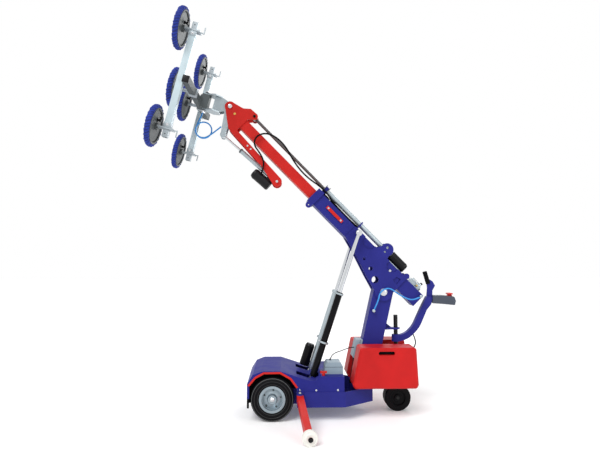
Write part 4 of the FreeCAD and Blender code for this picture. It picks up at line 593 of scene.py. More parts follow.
def make_motor_cable():
    guide_to_motor = [
        (0.619, 0.052, 0.270), (0.700, 0.054, 0.264), (0.820, 0.058, 0.263), (0.940, 0.055, 0.266),
        (1.045, 0.057, 0.286), (1.165, 0.063, 0.288), (1.275, 0.074, 0.262), (1.400, 0.084, 0.256),
        (1.530, 0.086, 0.276), (1.640, 0.086, 0.310), (1.745, 0.086, 0.322), (1.840, 0.086, 0.308),
        (1.918, 0.086, 0.262), (1.950, 0.086, 0.178), (1.905, 0.086, 0.105), (1.800, 0.087, 0.092),
        (1.715, 0.087, 0.062), (1.672, 0.086, 0.005), (1.6511, 0.047, -0.0428)]
    points = [boom(*spot) for spot in guide_to_motor]
    cord("motor_cable", points, MOTOR_CABLE, RUBBER, "boom_cable", "boom", "extension")


def make_control_cable():
    column_to_tiller = [
        (-0.7096, 0.036, 0.622), (-0.796, 0.044, 0.582), (-0.895, 0.045, 0.556), (-0.985, 0.034, 0.556),
        (-1.040, 0.026, 0.600), (-1.054, 0.0145, 0.664), (-1.0285, 0.0003, 0.7202)]
    points = [Vector(spot) for spot in column_to_tiller]
    cord("control_cable", points, CONTROL_CABLE, RUBBER, "tiller_cable", "chassis", "steering")


def make_charging_lead():
    charger_to_box = [
        (-0.205, 0.120, 0.5004), (-0.215, 0.118, 0.537), (-0.255, 0.108, 0.564), (-0.310, 0.092, 0.577),
        (-0.365, 0.074, 0.594), (-0.405, 0.058, 0.604), (-0.4428, 0.050, 0.603)]
    points = [Vector(spot) for spot in charger_to_box]
    cord("charging_lead", points, CHARGING_LEAD, RUBBER, "charger_cable", "chassis")


def make_cords():
    make_vacuum_hose()
    make_swivel_hose()
    make_motor_cable()
    make_control_cable()
    make_charging_lead()


# Suction cups

BEAM_SPREAD = 1.0
ARM_LEVEL = 0.4623
INNER_SPREAD = 0.44

COVER_RADIUS = 0.192
COVER_DEPTH = 0.052
COVER_HEM = 0.153
COVER_CROWN = 0.0108
COVER_MIDDLE = 0.519

# The cover's taut face: rings as shares of its radius, and its level as a share of its depth
FACE_RINGS = (0.2, 0.4, 0.6, 0.75)
FACE_LEVEL = 0.56
FACE_FOLD = 0.02
# Its wall and its hem: shares of the cover's or the hem's radius, of the depth, and of the pleats' swell
COVER_WALL = ((0.86, 0.58, 0.25), (0.92, 0.52, 0.5), (0.965, 0.36, 0.8), (0.985, 0.14, 1.0),
              (0.985, -0.08, 1.0), (0.970, -0.24, 0.9), (0.940, -0.35, 0.7), (0.900, -0.38, 0.4))
GATHERED_HEM = ((1.02, -0.36, 0.2), (1.0, -0.26, 0.0))

PLEATS = 44
PLEAT_STEPS = 8
PLEAT_SWELL = 0.0048
PLEAT_SLACK = 0.0040
PLEAT_TWIST = 130
SWELL_OUTWARD = 0.6
SWELL_FORWARD = 0.4
SLACK_DRIFT = 1.7
# How the pleats' depth varies round a cover: by what share, how often, and where it starts per metre
UNEVEN_SHARE = 0.35
UNEVEN_WAVES = 7
UNEVEN_START = 5
# The painted shade in the pleats' valleys begins and is full at these shares of the radius
VALLEY_SHADE_BEGIN = 0.70
VALLEY_SHADE_FULL = 0.92

# Shares of the cloth's brightness: random fading on the folds, and painted shade in the pleats' valleys
FOLD_TONES = (0.72, 1.24)
VALLEY_SHADE_TONES = (0.30, 0.55)

# The clamp ring: its back and seat as shares of the cover's depth, its radius as a share of the cover's,
# its bore at the back and at the seat as shares of the hem, and its eased edges
RING_BACK = -0.47
RING_SEAT = -0.30
RING_RADIUS = 0.855
RING_BACK_BORE = 0.99
RING_SEAT_BORE = 0.96
RING_DISHING = 0.002
RING_EASE = 0.003
RING_SEAT_EASE = 0.004


def pleat_drift(y, up):
    """How the pleats wander round a cover: the share, count and start of each sway."""
    return (0.6, 5, y * 9 + up * 4), (0.35, 11, up * 7)


def pleat_valley_shade(tree, centre, y, up):
    """1 in a valley of the wave that shapes a cover's pleats, where the cloth gets painted shade, and 0 on a
    fold and on the taut face.
    """
    side = measured(tree, Y, centre)
    rise = measured(tree, UP, centre)
    turn = maths(tree, "ARCTAN2", rise, side)
    twist = maths(tree, "MULTIPLY", measured(tree, OUT, centre), PLEAT_TWIST)
    phase = maths(tree, "MULTIPLY_ADD", turn, PLEATS, twist)
    for share, count, start in pleat_drift(y, up):
        sway = maths(tree, "SINE", maths(tree, "MULTIPLY_ADD", turn, count, start))
        phase = maths(tree, "MULTIPLY_ADD", sway, share, phase)
    valley_shade = maths(tree, "MULTIPLY_ADD", maths(tree, "SINE", phase), -0.5, 0.5)
    radius = distance(tree, side, rise)
    wall = between(tree, radius, 0, 1, VALLEY_SHADE_BEGIN * COVER_RADIUS, VALLEY_SHADE_FULL * COVER_RADIUS)
    return maths(tree, "MULTIPLY", valley_shade, wall)


def woven(name, colour, centre, y, up):
    """Light pleated cloth: crossed threads, a soft sheen, randomly faded folds, and painted shade in the
    valleys between the pleats.
    """
    material, tree, shader = new_material(name)
    shader.inputs["Roughness"].default_value = 0.85
    shader.inputs["Sheen Weight"].default_value = 0.03
    shader.inputs["Sheen Roughness"].default_value = 0.5
    fading = between(tree, noise(tree, scale=22, detail=5), 0, 1)
    fold = toned(tree, fading, colour, *FOLD_TONES)
    # Painted shade: a darker copy of the cloth's colour for the pleats' valleys
    valley_shade = toned(tree, fading, colour, *VALLEY_SHADE_TONES)
    depth = pleat_valley_shade(tree, centre, y, up)
    tree.links.new(mixed(tree, depth, fold, valley_shade, "RGBA"), shader.inputs["Base Color"])
    threads = []
    for direction in ("Y", "Z"):
        wave = add(tree, "TexWave", bands_direction=direction, Scale=420, Distortion=0.6)
        tree.links.new(own_place(tree), wave.inputs["Vector"])
        threads.append(wave.outputs["Fac"])
    bump(tree, shader, maths(tree, "MULTIPLY", *threads), strength=0.25, distance=0.0006)
    return material


def cover_section():
    """The cover's section from near its middle to its hem: radius, height, and how much the pleats show."""
    section = []
    for share in FACE_RINGS:
        crown = COVER_CROWN * (1 - share ** 2)
        section.append((share * COVER_RADIUS, FACE_LEVEL * COVER_DEPTH + crown, FACE_FOLD * share))
    for base, rows in ((COVER_RADIUS, COVER_WALL), (COVER_HEM, GATHERED_HEM)):
        section += [(share * base, level * COVER_DEPTH, fold) for share, level, fold in rows]
    return section


def pleat(turn, height, fold, y, up):
    """How far a pleat stands out sideways and forwards at one turn and height of a cover."""
    drift = sum(share * math.sin(count * turn + start) for share, count, start in pleat_drift(y, up))
    wave = math.sin(PLEATS * turn + drift + PLEAT_TWIST * height)
    depth = 1 + UNEVEN_SHARE * math.sin(UNEVEN_WAVES * turn + y * UNEVEN_START)
    swell = PLEAT_SWELL * fold * depth * wave
    slack = PLEAT_SLACK * fold * math.sin(PLEATS / 2 * turn + drift * SLACK_DRIFT)
    return swell * SWELL_OUTWARD, swell * SWELL_FORWARD + slack


def pleated_cover(name, y, up, body, node):
    """A cloth cover drawn over a suction pad: a taut face, a pleated wall and a gathered hem behind."""
    steps = PLEATS * PLEAT_STEPS
    centre = head(COVER_MIDDLE, y, up)
    form = bmesh.new()
    rings = []
    for radius, height, fold in cover_section():
        ring = []
        for i in range(steps):
            turn = math.tau * i / steps
            outward, forward = pleat(turn, height, fold, y, up)
            reach = radius + outward
            spot = centre + Y * (reach * math.cos(turn)) + UP * (reach * math.sin(turn))
            ring.append(form.verts.new(spot + OUT * (height + forward)))
        rings.append(ring)
    top = form.verts.new(centre + OUT * (FACE_LEVEL * COVER_DEPTH + COVER_CROWN))
    for i in range(steps):
        form.faces.new((top, rings[0][i], rings[0][(i + 1) % steps]))
    for inner, outer in zip(rings, rings[1:]):
        for i in range(steps):
            after = (i + 1) % steps
            form.faces.new((inner[i], outer[i], outer[after], inner[after]))
    cloth = woven(f"blue_cloth_{name}", CLOTH_BLUE, centre, y, up)
    made = piece(name, form, cloth, body, "cover_fabric", SMOOTH_ALL_OVER)
    solid = made.modifiers.new("cloth_thickness", "SOLIDIFY")
    solid.thickness = 0.0012
    solid.offset = -1
    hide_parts(node)
    return made


def clamp_ring(name, y, up, body):
    """The ring that holds the gathered hem against the back of the dish."""
    back = RING_BACK * COVER_DEPTH
    seat = RING_SEAT * COVER_DEPTH
    outer = RING_RADIUS * COVER_RADIUS
    profile = [(COVER_HEM * RING_BACK_BORE, back + RING_DISHING), (outer - RING_EASE, back),
               (outer, back + RING_EASE), (outer, seat - RING_EASE), (outer - RING_SEAT_EASE, seat),
               (COVER_HEM * RING_SEAT_BORE, seat)]
    place = facing(head(COVER_MIDDLE, y, up), OUT)
    turned(name, [(profile, place)], CUP_METAL, body, LARGE_ROUND, hollow=True)


def make_cups():
    for label, side in SIDES:
        y = side * INNER_SPREAD / 2
        pleated_cover(f"inner_cover_{label}", y, 0, "rotor", "inner_cup_covers")
        clamp_ring(f"inner_ring_{label}", y, 0, "rotor")
        for level, rise in LEVELS:
            y = side * BEAM_SPREAD / 2
            up = rise * ARM_LEVEL
            carriage = f"carriage_{level}_{label}"
            pleated_cover(f"cover_{level}_{label}", y, up, carriage, f"cup_cover_{level}_{label}")
            clamp_ring(f"ring_{level}_{label}", y, up, carriage)


# Chassis fittings. A bolt's or a screw's size is the width across its flats.

COVER_SCREWS = [Vector((x, 0.329, 0.276)) for x in (0.086, -0.060, -0.255)]
COVER_SCREW = 0.010
OUTRIGGER_HINGE = Vector((0.088, 0.385, 0.222))
OUTRIGGER_ANGLE = math.radians(97)
HINGE_PIN_TOP = 0.047
HINGE_NUT = 0.018
LEG_END = 0.540
ROLLER_AXLE = 0.0625
ROLLER_BOLT = 0.024
LIFT_LUG_FACE = 0.049
LIFT_FOOT_BOLT = 0.024
# The hand slot in each side is a thin black block: painted shade in place of the slot's opening
HAND_SLOT_SHADE = Vector((-0.701, 0.307, 0.597))
HAND_SLOT_SIZE = (0.140, 0.004, 0.026)
# The splash plate inside each wheel: it stands on the tray's side and fits under the cover
SPLASH_OUTLINE = ((0.165, 0.245), (0.165, 0.400), (0.262, 0.433), (0.428, 0.433), (0.502, 0.404),
                  (0.549, 0.331), (0.549, 0.140), (0.504, 0.140), (0.504, 0.245))
SPLASH_INNER = 0.215
SPLASH_OUTER = 0.219
COLUMN_PORT = Vector((-0.625, 0.126, 0.956))
PORT_RING = ((0.0142, -0.008), (0.0142, 0.001), (0.010, 0.004))
PIVOT_END = 0.0935
PIVOT_CAP = cap(0.023, 0.018)


def make_chassis_fittings():
    for label, side in SIDES:
        outward = Y * side
        screws = [(mirrored(spot, side), outward) for spot in COVER_SCREWS]
        bolts(f"cover_screws_{label}", screws, COVER_SCREW, "chassis")
        hinge = mirrored(OUTRIGGER_HINGE, side)
        bolts(f"outrigger_pin_{label}", [(hinge + Z * HINGE_PIN_TOP, Z)], HINGE_NUT, "chassis")
        leg = Vector((math.cos(OUTRIGGER_ANGLE), side * math.sin(OUTRIGGER_ANGLE), 0))
        end = Vector((hinge.x, hinge.y, ROLLER_AXLE)) + leg * LEG_END
        bolts(f"roller_bolt_{label}", [(end, leg)], ROLLER_BOLT, f"outrigger_{label}", BLACK)
        lift_pin = LIFT_FOOT + outward * (LIFT_SPREAD + LIFT_LUG_FACE)
        bolts(f"lift_foot_bolt_{label}", [(lift_pin, outward)], LIFT_FOOT_BOLT, "chassis")
        # Painted shade: a thin black block in the hand slot
        block(f"hand_slot_shade_{label}", [mirrored(HAND_SLOT_SHADE, side)], HAND_SLOT_SIZE, (X, Y, Z),
              RUBBER, "chassis", THIN_BEVEL)
        sheet_plate(f"splash_plate_{label}", SPLASH_OUTLINE, side * SPLASH_INNER, side * SPLASH_OUTER,
                    RUBBER, "chassis")
        make_wheel_fittings(label, outward)
    turned("hose_port_ring", [(PORT_RING, facing(COLUMN_PORT, Y))], ZINC, "chassis")
    turned("pivot_cap", [(PIVOT_CAP, facing(PIVOT + Y * PIVOT_END, Y))], STEEL, "chassis")


# Wheel fittings

WHEEL_TRACK = 0.570
HUB_FACE = 0.327
DISC_FACE = 0.301
DISC_SLOPE = math.atan(10 / 38.5)
NUTS = 5
NUT_START = 0.35
NUT_CIRCLE = 0.077
NUT_LEVEL = 0.0076
WHEEL_NUT = 0.011
HUB_CAP = ((0.020, 0), (0.020, 0.004), (0.013, 0.010), (0.006, 0.013))
# Raised rings on the tyre's side: radius, distance from the wheel's middle plane, half width and rise
TYRE_RIDGES = ((0.184, 0.0404, 0.0034, 0.0030), (0.160, 0.0490, 0.0030, 0.0016),
               (0.133, 0.0459, 0.0030, 0.0020))
RIDGE_ROOT = 0.006
# A ring's rounded crest as shares of its half width, and of its rise outside and inside
CREST_WIDTH = 0.6
CREST_OUTER = 0.7
CREST_INNER = 0.8
VALVE_FROM_AXLE = Vector((0.054, 0, -0.062))
TYRE_VALVE = ((0.005, -0.012), (0.005, 0.008), (0.0035, 0.009), (0.0035, 0.018))


def tyre_ridge(radius, level, half, rise):
    """The profile of a raised ring, from its root in the rubber to its rounded crest."""
    crest = half * CREST_WIDTH
    return [(radius - half, level - RIDGE_ROOT), (radius + half, level - RIDGE_ROOT),
            (radius + half, level - rise), (radius + crest, level + rise * CREST_OUTER),
            (radius, level + rise), (radius - crest, level + rise * CREST_INNER), (radius - half, level)]


def make_wheel_fittings(label, outward):
    body = f"wheel_{label}"
    centre = WHEEL_CENTRE + outward * (WHEEL_TRACK / 2)
    hub = WHEEL_CENTRE + outward * HUB_FACE
    nuts = []
    for i in range(NUTS):
        turn = math.tau * (i + NUT_START) / NUTS
        across = X * math.cos(turn) + Z * math.sin(turn)
        lean = outward * math.cos(DISC_SLOPE) + across * math.sin(DISC_SLOPE)
        nuts.append((centre + across * NUT_CIRCLE + outward * NUT_LEVEL, lean))
    bolts(f"wheel_nuts_{label}", nuts, WHEEL_NUT, body, DARK_STEEL)
    turned(f"hub_cap_{label}", [(HUB_CAP, facing(hub, outward))], STEEL, body)
    ridges = [(tyre_ridge(*ridge), facing(centre, outward)) for ridge in TYRE_RIDGES]
    # The shoulder ring is lighter grey: a painted highlight along the tyre's shoulder
    turned(f"tyre_shoulder_{label}", ridges[:1], PAINTED_HIGHLIGHT_RUBBER, body, LARGE_ROUND, hollow=True)
    turned(f"tyre_ridges_{label}", ridges[1:], GLOSSY_RUBBER, body, LARGE_ROUND, hollow=True)
    valve = WHEEL_CENTRE + outward * DISC_FACE + VALVE_FROM_AXLE
    turned(f"tyre_valve_{label}", [(TYRE_VALVE, facing(valve, outward))], BLACK, body, TINY_ROUND)


# Control box and charger fittings

# The control box leans with the column that carries it
BOX_FOOT = Vector((-0.503, 0, 0.581))
BOX_OUT, BOX_UP = slanted(degrees=13)
BOX_SEAM_OUT = 0.022
BOX_SEAM = (0.003, 0.152, 0.188)
LATCH_SIDE = 0.0765
LATCH_RISE = 0.05
LATCH = (0.020, 0.004, 0.014)
BOX_GLAND = ((0.015, 0), (0.015, 0.012), (0.0125, 0.016))
# The ribbed conduit: its ends, and each rib's root as a share of its radius and crest as shares of its pitch
CONDUIT_TOP = Vector((-0.447, 0.030, 0.497))
CONDUIT_FOOT = Vector((-0.404, 0.030, 0.262))
CONDUIT_RADIUS = 0.011
CONDUIT_RIBS = 34
RIB_ROOT = 0.86
RIB_CREST = (0.3, 0.7)
CHARGER = Vector((-0.230, 0.150, 0.393))
CHARGER_SEAM_LEVEL = 0.0636
CHARGER_SEAM = (0.1695, 0.1615, 0.003)
CHARGER_SCREWS = [CHARGER + Vector((x, y, 0.106)) for x in (-0.050, 0.050) for y in (-0.066, 0.066)]
CHARGER_SCREW = 0.008
CHARGER_EXIT = Vector((-0.205, 0.120, 0.505))
CHARGER_GLAND = band(0.0044, 0.009, 0.012)


def make_conduit():
    run = CONDUIT_FOOT - CONDUIT_TOP
    pitch = run.length / CONDUIT_RIBS
    root = CONDUIT_RADIUS * RIB_ROOT
    profile = []
    for rib in range(CONDUIT_RIBS):
        base = run.length * rib / CONDUIT_RIBS
        profile += [(root, base)] + [(CONDUIT_RADIUS, base + pitch * share) for share in RIB_CREST]
    profile.append((root, run.length))
    turned("conduit", [(profile, facing(CONDUIT_TOP, run))], RUBBER, "chassis", SMALL_ROUND)


def make_box_fittings():
    axes = (BOX_OUT, Y, BOX_UP)
    seam = BOX_FOOT + BOX_OUT * BOX_SEAM_OUT
    block("control_box_seam", [seam], BOX_SEAM, axes, BLACK, "chassis", SEAM_BEVEL)
    latches = [seam + Y * (LATCH_SIDE * side) + BOX_UP * (LATCH_RISE * way)
               for side in BOTH_WAYS for way in BOTH_WAYS]
    block("control_box_latches", latches, LATCH, axes, STEEL, "chassis", THIN_BEVEL)
    turned("control_box_gland", [(BOX_GLAND, facing(CONDUIT_TOP, -BOX_UP))], BLACK, "chassis")
    make_conduit()
    seam = CHARGER + Z * CHARGER_SEAM_LEVEL
    block("charger_seam", [seam], CHARGER_SEAM, (X, Y, Z), BLACK, "chassis", SEAM_BEVEL)
    bolts("charger_screws", [(spot, Z) for spot in CHARGER_SCREWS], CHARGER_SCREW, "chassis")
    gland = facing(CHARGER_EXIT, Z)
    turned("charger_gland", [(CHARGER_GLAND, gland)], BLACK, "chassis", SMALL_ROUND, hollow=True)


# Lift fittings

LIFT_EYE = boom(0.576, 0.1752, 0.224)
LIFT_PIN = ((0.0127, -0.050), (0.0127, 0), (0.022, 0), (0.022, 0.005), (0.018, 0.008))
LIFT_CLAMPS_ALONG = (0.357, 0.833)
LIFT_CLAMP_RADIUS = 0.0395
LIFT_CLAMP = band(0.0368, LIFT_CLAMP_RADIUS, 0.016)
LIFT_CLAMP_BOLT = 0.016


def make_lift_fittings():
    for label, side in SIDES:
        eye = facing(mirrored(LIFT_EYE, side), Y * side)
        turned(f"lift_pin_{label}", [(LIFT_PIN, eye)], STEEL, "lift_plungers")
        middles = [LIFT_FOOT + Y * (side * LIFT_SPREAD) + LIFT_ALONG * along for along in LIFT_CLAMPS_ALONG]
        rings = [(LIFT_CLAMP, facing(middle, LIFT_ALONG)) for middle in middles]
        turned(f"lift_clamps_{label}", rings, ZINC, "lift_barrels", hollow=True)
        spots = [(middles[0] + LIFT_FRONT * (LIFT_CLAMP_RADIUS * way), LIFT_FRONT * way) for way in BOTH_WAYS]
        bolts(f"lift_clamp_bolts_{label}", spots, LIFT_CLAMP_BOLT, "lift_barrels")


# Boom fittings

BOOM_SIDE = 0.075
BOOM_TOP = 0.252
LOCK_START = 0.759
LOCK_END = 0.971
LOCK_ABOVE = 0.192
LOCK_THICKNESS = 0.012
LOCK_WIDTH = 0.030
LOCK_BOLT_INSET = 0.022
LOCK_BOLT = 0.011
# A black band on the boom's top: it stands for the cables that lie there, and is also painted shade in the
# gap between the telescope tube and the boom
CABLE_COVER_START = 0.622
CABLE_COVER_END = 1.076
CABLE_COVER_SIDE = -0.003
CABLE_COVER_WIDTH = 0.084
CABLE_COVER_HEIGHT = 0.022
CABLE_COVER_BEVEL = 0.006
STRAPS_ALONG = (0.700, 0.849, 0.998)
STRAP_LEVEL = 0.0112
STRAP = (0.014, 0.087, 0.0236)
# The telescope actuator runs parallel to the boom, with two flanges, each at its place along
TELESCOPE_ABOVE = 0.311
TUBE_FLANGES = ((1.076, band(0.0256, 0.050, 0.005)), (1.1168, band(0.0165, 0.050, 0.005)))
MOTOR_BAND = band(0.0518, 0.0538, 0.006)
MOTOR_BANDS_ALONG = (0.024, 0.176)
MOTOR_BOLT_OFFSET = 0.026
MOTOR_BOLT = 0.009
TAIL_PORT = boom(-0.278, 0.126, 0.225)
VALVE_KNOB_SEAT = boom(-0.2167, 0.0307, 0.321)
VALVE_KNOB = ((0.012, 0), (0.013, 0.004), (0.012, 0.012))
BARB_SEAT = boom(-0.186, 0.069, 0.275)
BARB = ((0.0085, 0), (0.0085, 0.004), (0.0105, 0.005), (0.0075, 0.011), (0.0100, 0.012), (0.0070, 0.019))
MANIFOLD_MIDDLE = boom(-0.238, 0.020, 0.272)
MANIFOLD = (0.014, 0.036, 0.024)
GAUGE_SEATS = [boom(along, 0.046, 0.300) for along in (-0.170, -0.142)]
GAUGE = ((0.009, 0), (0.010, 0.003), (0.010, 0.012), (0.008, 0.014))
EAR_BOLT_SEAT = boom(0.100, 0.087, 0.190)
EAR_BOLT = 0.014


def make_boom_covers():
    axes = (ALONG, Y, ABOVE)
    lock = boom((LOCK_START + LOCK_END) / 2, BOOM_SIDE + LOCK_THICKNESS / 2, LOCK_ABOVE)
    block("telescope_lock", [lock], (LOCK_END - LOCK_START, LOCK_THICKNESS, LOCK_WIDTH), axes,
          PAINT_RED, "boom")
    spots = [(boom(along, BOOM_SIDE + LOCK_THICKNESS, LOCK_ABOVE), Y)
             for along in (LOCK_START + LOCK_BOLT_INSET, LOCK_END - LOCK_BOLT_INSET)]
    bolts("telescope_lock_bolts", spots, LOCK_BOLT, "boom")
    # The black band over the cables also carries painted shade between the telescope tube and the boom
    middle = (CABLE_COVER_START + CABLE_COVER_END) / 2
    block("cable_and_shade_band", [boom(middle, CABLE_COVER_SIDE, BOOM_TOP + CABLE_COVER_HEIGHT / 2)],
          (CABLE_COVER_END - CABLE_COVER_START, CABLE_COVER_WIDTH, CABLE_COVER_HEIGHT), axes,
          RUBBER, "boom", CABLE_COVER_BEVEL)
    straps = [boom(along, CABLE_COVER_SIDE, BOOM_TOP + STRAP_LEVEL) for along in STRAPS_ALONG]
    block("cable_cover_straps", straps, STRAP, axes, ZINC, "boom", THIN_BEVEL)


def make_telescope_fittings():
    flanges = [(ring, facing(boom(along, 0, TELESCOPE_ABOVE), ALONG)) for along, ring in TUBE_FLANGES]
    turned("tube_flanges", flanges, DARK_STEEL, "boom", hollow=True)
    bands = [(MOTOR_BAND, facing(boom(along, 0, TELESCOPE_ABOVE), ALONG)) for along in MOTOR_BANDS_ALONG]
    turned("telescope_motor_bands", bands, BLACK, "boom", hollow=True)
    spots = [(boom(0, MOTOR_BOLT_OFFSET * side, TELESCOPE_ABOVE + MOTOR_BOLT_OFFSET * way), -ALONG)
             for side in BOTH_WAYS for way in BOTH_WAYS]
    bolts("telescope_motor_bolts", spots, MOTOR_BOLT, "boom")


def make_vacuum_fittings():
    axes = (ALONG, Y, ABOVE)
    turned("tail_port_ring", [(PORT_RING, facing(TAIL_PORT, Y))], ZINC, "boom")
    turned("vacuum_valve_knob", [(VALVE_KNOB, facing(VALVE_KNOB_SEAT, ABOVE))], BLACK, "boom")
    turned("vacuum_barb", [(BARB, facing(BARB_SEAT, Y))], BRASS, "boom", SMALL_ROUND)
    block("vacuum_manifold", [MANIFOLD_MIDDLE], MANIFOLD, axes, DARK_STEEL, "boom")
    gauges = [(GAUGE, facing(seat, Y)) for seat in GAUGE_SEATS]
    turned("vacuum_gauges", gauges, STEEL, "boom", SMALL_ROUND)
    bolts("ear_bolts", [(EAR_BOLT_SEAT, Y)], EAR_BOLT, "boom")


# Tiller fittings

ROCKER = Vector((-1.3974, 0, 1.084))
WING_SIDE = 0.0255
WING_RISE = 0.026
WING = (0.046, 0.030, 0.014)
WING_BEVEL = 0.005


def make_tiller_fittings():
    wings = [ROCKER + Vector((0, side * WING_SIDE, WING_RISE)) for _, side in SIDES]
    block("throttle_wings", wings, WING, (X, Y, Z), PAINT_RED, "throttle", WING_BEVEL)


# Fittings on the boom's extension

HEAD_PLATE_FACE = 0.065
PIN_END = 0.075
ROD_PIN = boom(2.107, PIN_END, TELESCOPE_ABOVE)
ROD_PIN_NUT = 0.016
LOBE_PIN = boom(LOBE_ALONG, PIN_END, LOBE_ABOVE)
LOBE_PIN_NUT = 0.013
TIP_PIN = boom(TIP_ALONG, PIN_END, TIP_ABOVE)
TIP_PIN_CAP = cap(0.0205, 0.017)
NIPPLE_SEAT = boom(2.262, HEAD_PLATE_FACE, 0.190)
NIPPLE = 0.014
ARM_SCREWS = [boom(along, HEAD_PLATE_FACE, 0.058) for along in (1.900, 1.945)]
ARM_SCREW = 0.011
TILT_MOTOR_BELOW = 0.078
TILT_BANDS_ALONG = (0.056, 0.208)
TILT_GLAND_ALONG = 0.478
TILT_GLAND = band(0.0135, 0.0245, 0.018)


def make_extension_fittings():
    for label, side in SIDES:
        outward = Y * side
        bolts(f"rod_pin_nut_{label}", [(mirrored(ROD_PIN, side), outward)], ROD_PIN_NUT, "extension", RUBBER)
        bolts(f"lobe_pin_nut_{label}", [(mirrored(LOBE_PIN, side), outward)], LOBE_PIN_NUT, "extension")
        tip = facing(mirrored(TIP_PIN, side), outward)
        turned(f"tip_pin_cap_{label}", [(TIP_PIN_CAP, tip)], STEEL, "extension")
        bolts(f"grease_nipple_{label}", [(mirrored(NIPPLE_SEAT, side), outward)], NIPPLE, "extension", BRASS)
        screws = [(mirrored(spot, side), outward) for spot in ARM_SCREWS]
        bolts(f"arm_screws_{label}", screws, ARM_SCREW, "extension")
    motor = TILT_FOOT - TILT_ABOVE * TILT_MOTOR_BELOW
    bands = [(MOTOR_BAND, facing(motor + TILT_ALONG * along, TILT_ALONG)) for along in TILT_BANDS_ALONG]
    turned("tilt_motor_bands", bands, BLACK, "tilt_barrel", hollow=True)
    gland = facing(TILT_FOOT + TILT_ALONG * TILT_GLAND_ALONG, TILT_ALONG)
    turned("tilt_tube_gland", [(TILT_GLAND, gland)], DARK_STEEL, "tilt_barrel", hollow=True)


# Head fittings

CROSS_AXIS = 0.342
CROSS_CAP_MIDDLE = 0.562
CROSS_CAP = (0.063, 0.016, 0.063)
CROSS_CAP_BEVEL = 0.003
BEAM_AXIS = 0.402
BEAM_HALF = 0.030
# The sleeve that guides a cup arm at a beam's end: its plates lie on the beam's four faces
SLEEVE_LEVEL = 0.430
SLEEVE_PLATE = 0.004
SLEEVE_LENGTH = 0.046
SLEEVE_BOLT = 0.014
ARM_FACE = 0.0256
# The pin's hole on an arm's face is a thin black disc: painted shade in place of the hole
PIN_HOLE_LEVEL = 0.512
PIN_HOLE_SHADE = ((0.0055, 0), (0.0055, 0.0004))
# The check valve on a cup's back
CUP_BACK = 0.506
VALVE_RISE = 0.058
VALVE_BEND = 0.028
VALVE_STEM = ((0.017, -0.002), (0.017, 0.005), (0.010, 0.008), (0.010, 0.028), (0.012, 0.030), (0.012, 0.036))
VALVE_ELBOW = ((0.0085, -0.012), (0.0085, 0.020), (0.0105, 0.021), (0.0105, 0.030), (0.007, 0.032))
PAN_AXIS = 0.258
PAN_STUD_END = 0.094
PAN_NUT = 0.034


def make_cup_valve(name, y, up, body):
    """The check valve on a cup's back, with its elbow."""
    root = head(CUP_BACK, y, up + VALVE_RISE)
    bend = head(CUP_BACK - VALVE_BEND, y, up + VALVE_RISE)
    forms = [(VALVE_STEM, facing(root, -OUT)), (VALVE_ELBOW, facing(bend, UP))]
    turned(name, forms, BLACK, body, SMALL_ROUND)


def make_sleeve(end, y, up):
    """The four plates and the bolt of the sleeve at one end of a beam."""
    axes = (OUT, Y, UP)
    middle = BEAM_HALF + SLEEVE_PLATE / 2
    outside = BEAM_HALF + SLEEVE_PLATE
    block(f"sleeve_cheeks_{end}", [head(BEAM_AXIS + middle * way, y, up) for way in BOTH_WAYS],
          (SLEEVE_PLATE, outside * 2, SLEEVE_LENGTH), axes, ZINC, "rotor", THIN_BEVEL)
    block(f"sleeve_sides_{end}", [head(BEAM_AXIS, y + middle * way, up) for way in BOTH_WAYS],
          (BEAM_HALF * 2, SLEEVE_PLATE, SLEEVE_LENGTH), axes, ZINC, "rotor", THIN_BEVEL)
    bolts(f"sleeve_bolt_{end}", [(head(BEAM_AXIS, y + outside, up), Y)], SLEEVE_BOLT, "rotor")


def make_head_fittings():
    caps = [head(CROSS_AXIS, side * CROSS_CAP_MIDDLE, 0) for _, side in SIDES]
    block("cross_tube_caps", caps, CROSS_CAP, (OUT, Y, UP), BLACK, "rotor", CROSS_CAP_BEVEL)
    for label, side in SIDES:
        y = side * BEAM_SPREAD / 2
        make_cup_valve(f"inner_valve_{label}", side * INNER_SPREAD / 2, 0, "rotor")
        for level, rise in LEVELS:
            end = f"{level}_{label}"
            carriage = f"carriage_{end}"
            make_sleeve(end, y, rise * SLEEVE_LEVEL)
            make_cup_valve(f"valve_{end}", y, rise * ARM_LEVEL, carriage)
            # Painted shade: a thin black disc where the pin's hole is
            hole = facing(head(BEAM_AXIS, y + ARM_FACE, rise * PIN_HOLE_LEVEL), Y)
            turned(f"pin_hole_shade_{end}", [(PIN_HOLE_SHADE, hole)], RUBBER, carriage, SMALL_ROUND)
    studs = [(head(PAN_AXIS, 0, rise * PAN_STUD_END), UP * rise) for _, rise in LEVELS]
    bolts("pan_nuts", studs, PAN_NUT, "pan")


def make_fittings():
    make_chassis_fittings()
    make_box_fittings()
    make_lift_fittings()
    make_boom_covers()
    make_telescope_fittings()
    make_vacuum_fittings()
    make_tiller_fittings()
    make_extension_fittings()
    make_head_fittings()


# Camera, light and floor

FLOOR_REACH = 30
FLOOR_DROP = 0.001
CAMERA_SPOT = (0.223, 4.660, 1.450)
CAMERA_AIM = Vector((-0.0315, -0.997, 0.0717))
SUN_AIM = Vector((-0.40, -0.55, -0.80))
# Soft lamps, each with its place and power, aimed at the machine's middle
LAMPS = (("fill", Vector((-4.5, 4.0, 3.0)), 90), ("rim", Vector((-1.5, -4.5, 4.5)), 120))
LAMPS_TARGET = Vector((0, 0, 1.5))
# The world's strength as light on the machine, and as a backdrop to look at
WORLD_LIGHT = 0.40
WORLD_BACKDROP = 1.0


def aimed(direction):
    """The turn that points a camera or a lamp along a direction."""
    return direction.to_track_quat("-Z", "Y").to_euler()


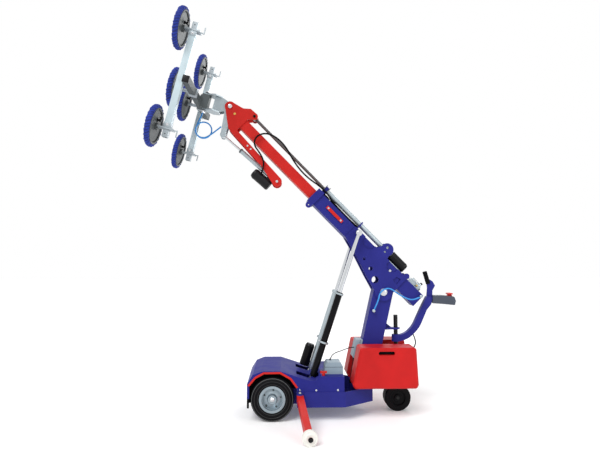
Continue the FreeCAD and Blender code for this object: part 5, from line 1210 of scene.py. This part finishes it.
def make_floor():
    floor = bpy.data.meshes.new("floor")
    corners = [(x * FLOOR_REACH, y * FLOOR_REACH, 0) for x, y in ((-1, -1), (1, -1), (1, 1), (-1, 1))]
    floor.from_pydata(corners, [], [(0, 1, 2, 3)])
    ground = placed("floor", floor)
    ground.location.z = -FLOOR_DROP
    white = finish("pale_floor", (0.93, 0.93, 0.93), rough=0.9, tone=0.01, depth=0.0)
    glow = white.node_tree.nodes["Principled BSDF"]
    glow.inputs["Emission Color"].default_value = (1, 1, 1, 1)
    glow.inputs["Emission Strength"].default_value = 0.12
    floor.materials.append(white)


def make_camera():
    camera = bpy.data.cameras.new("photo_camera")
    camera.sensor_width = 36
    camera.lens = 28.4
    viewer = placed("photo_camera", camera)
    viewer.location = CAMERA_SPOT
    viewer.rotation_euler = aimed(CAMERA_AIM)
    bpy.context.scene.camera = viewer


def make_lamps():
    sun = bpy.data.lights.new("key", "SUN")
    sun.energy = 2.3
    sun.angle = math.radians(35)
    key = placed("key", sun)
    key.rotation_euler = aimed(SUN_AIM)
    for name, spot, power in LAMPS:
        light = bpy.data.lights.new(name, "AREA")
        light.energy = power
        light.size = 3.0
        lamp = placed(name, light)
        lamp.location = spot
        lamp.rotation_euler = aimed(LAMPS_TARGET - spot)


def make_world():
    """Even light from all round, and a white backdrop to look at and to be mirrored."""
    world = bpy.data.worlds.new("studio")
    bpy.context.scene.world = world
    world.use_nodes = True
    tree = world.node_tree
    path = add(tree, "LightPath")
    seen = maths(tree, "MAXIMUM", path.outputs["Is Camera Ray"], path.outputs["Is Glossy Ray"])
    seen = maths(tree, "MAXIMUM", seen, path.outputs["Is Transmission Ray"])
    background = tree.nodes["Background"]
    background.inputs["Color"].default_value = (1, 1, 1, 1)
    tree.links.new(mixed(tree, seen, WORLD_LIGHT, WORLD_BACKDROP), background.inputs["Strength"])


def make_stage():
    make_floor()
    make_camera()
    make_lamps()
    make_world()
    bpy.context.scene.view_settings.view_transform = "Standard"


dress_frame()
make_cords()
make_cups()
make_fittings()
make_stage()
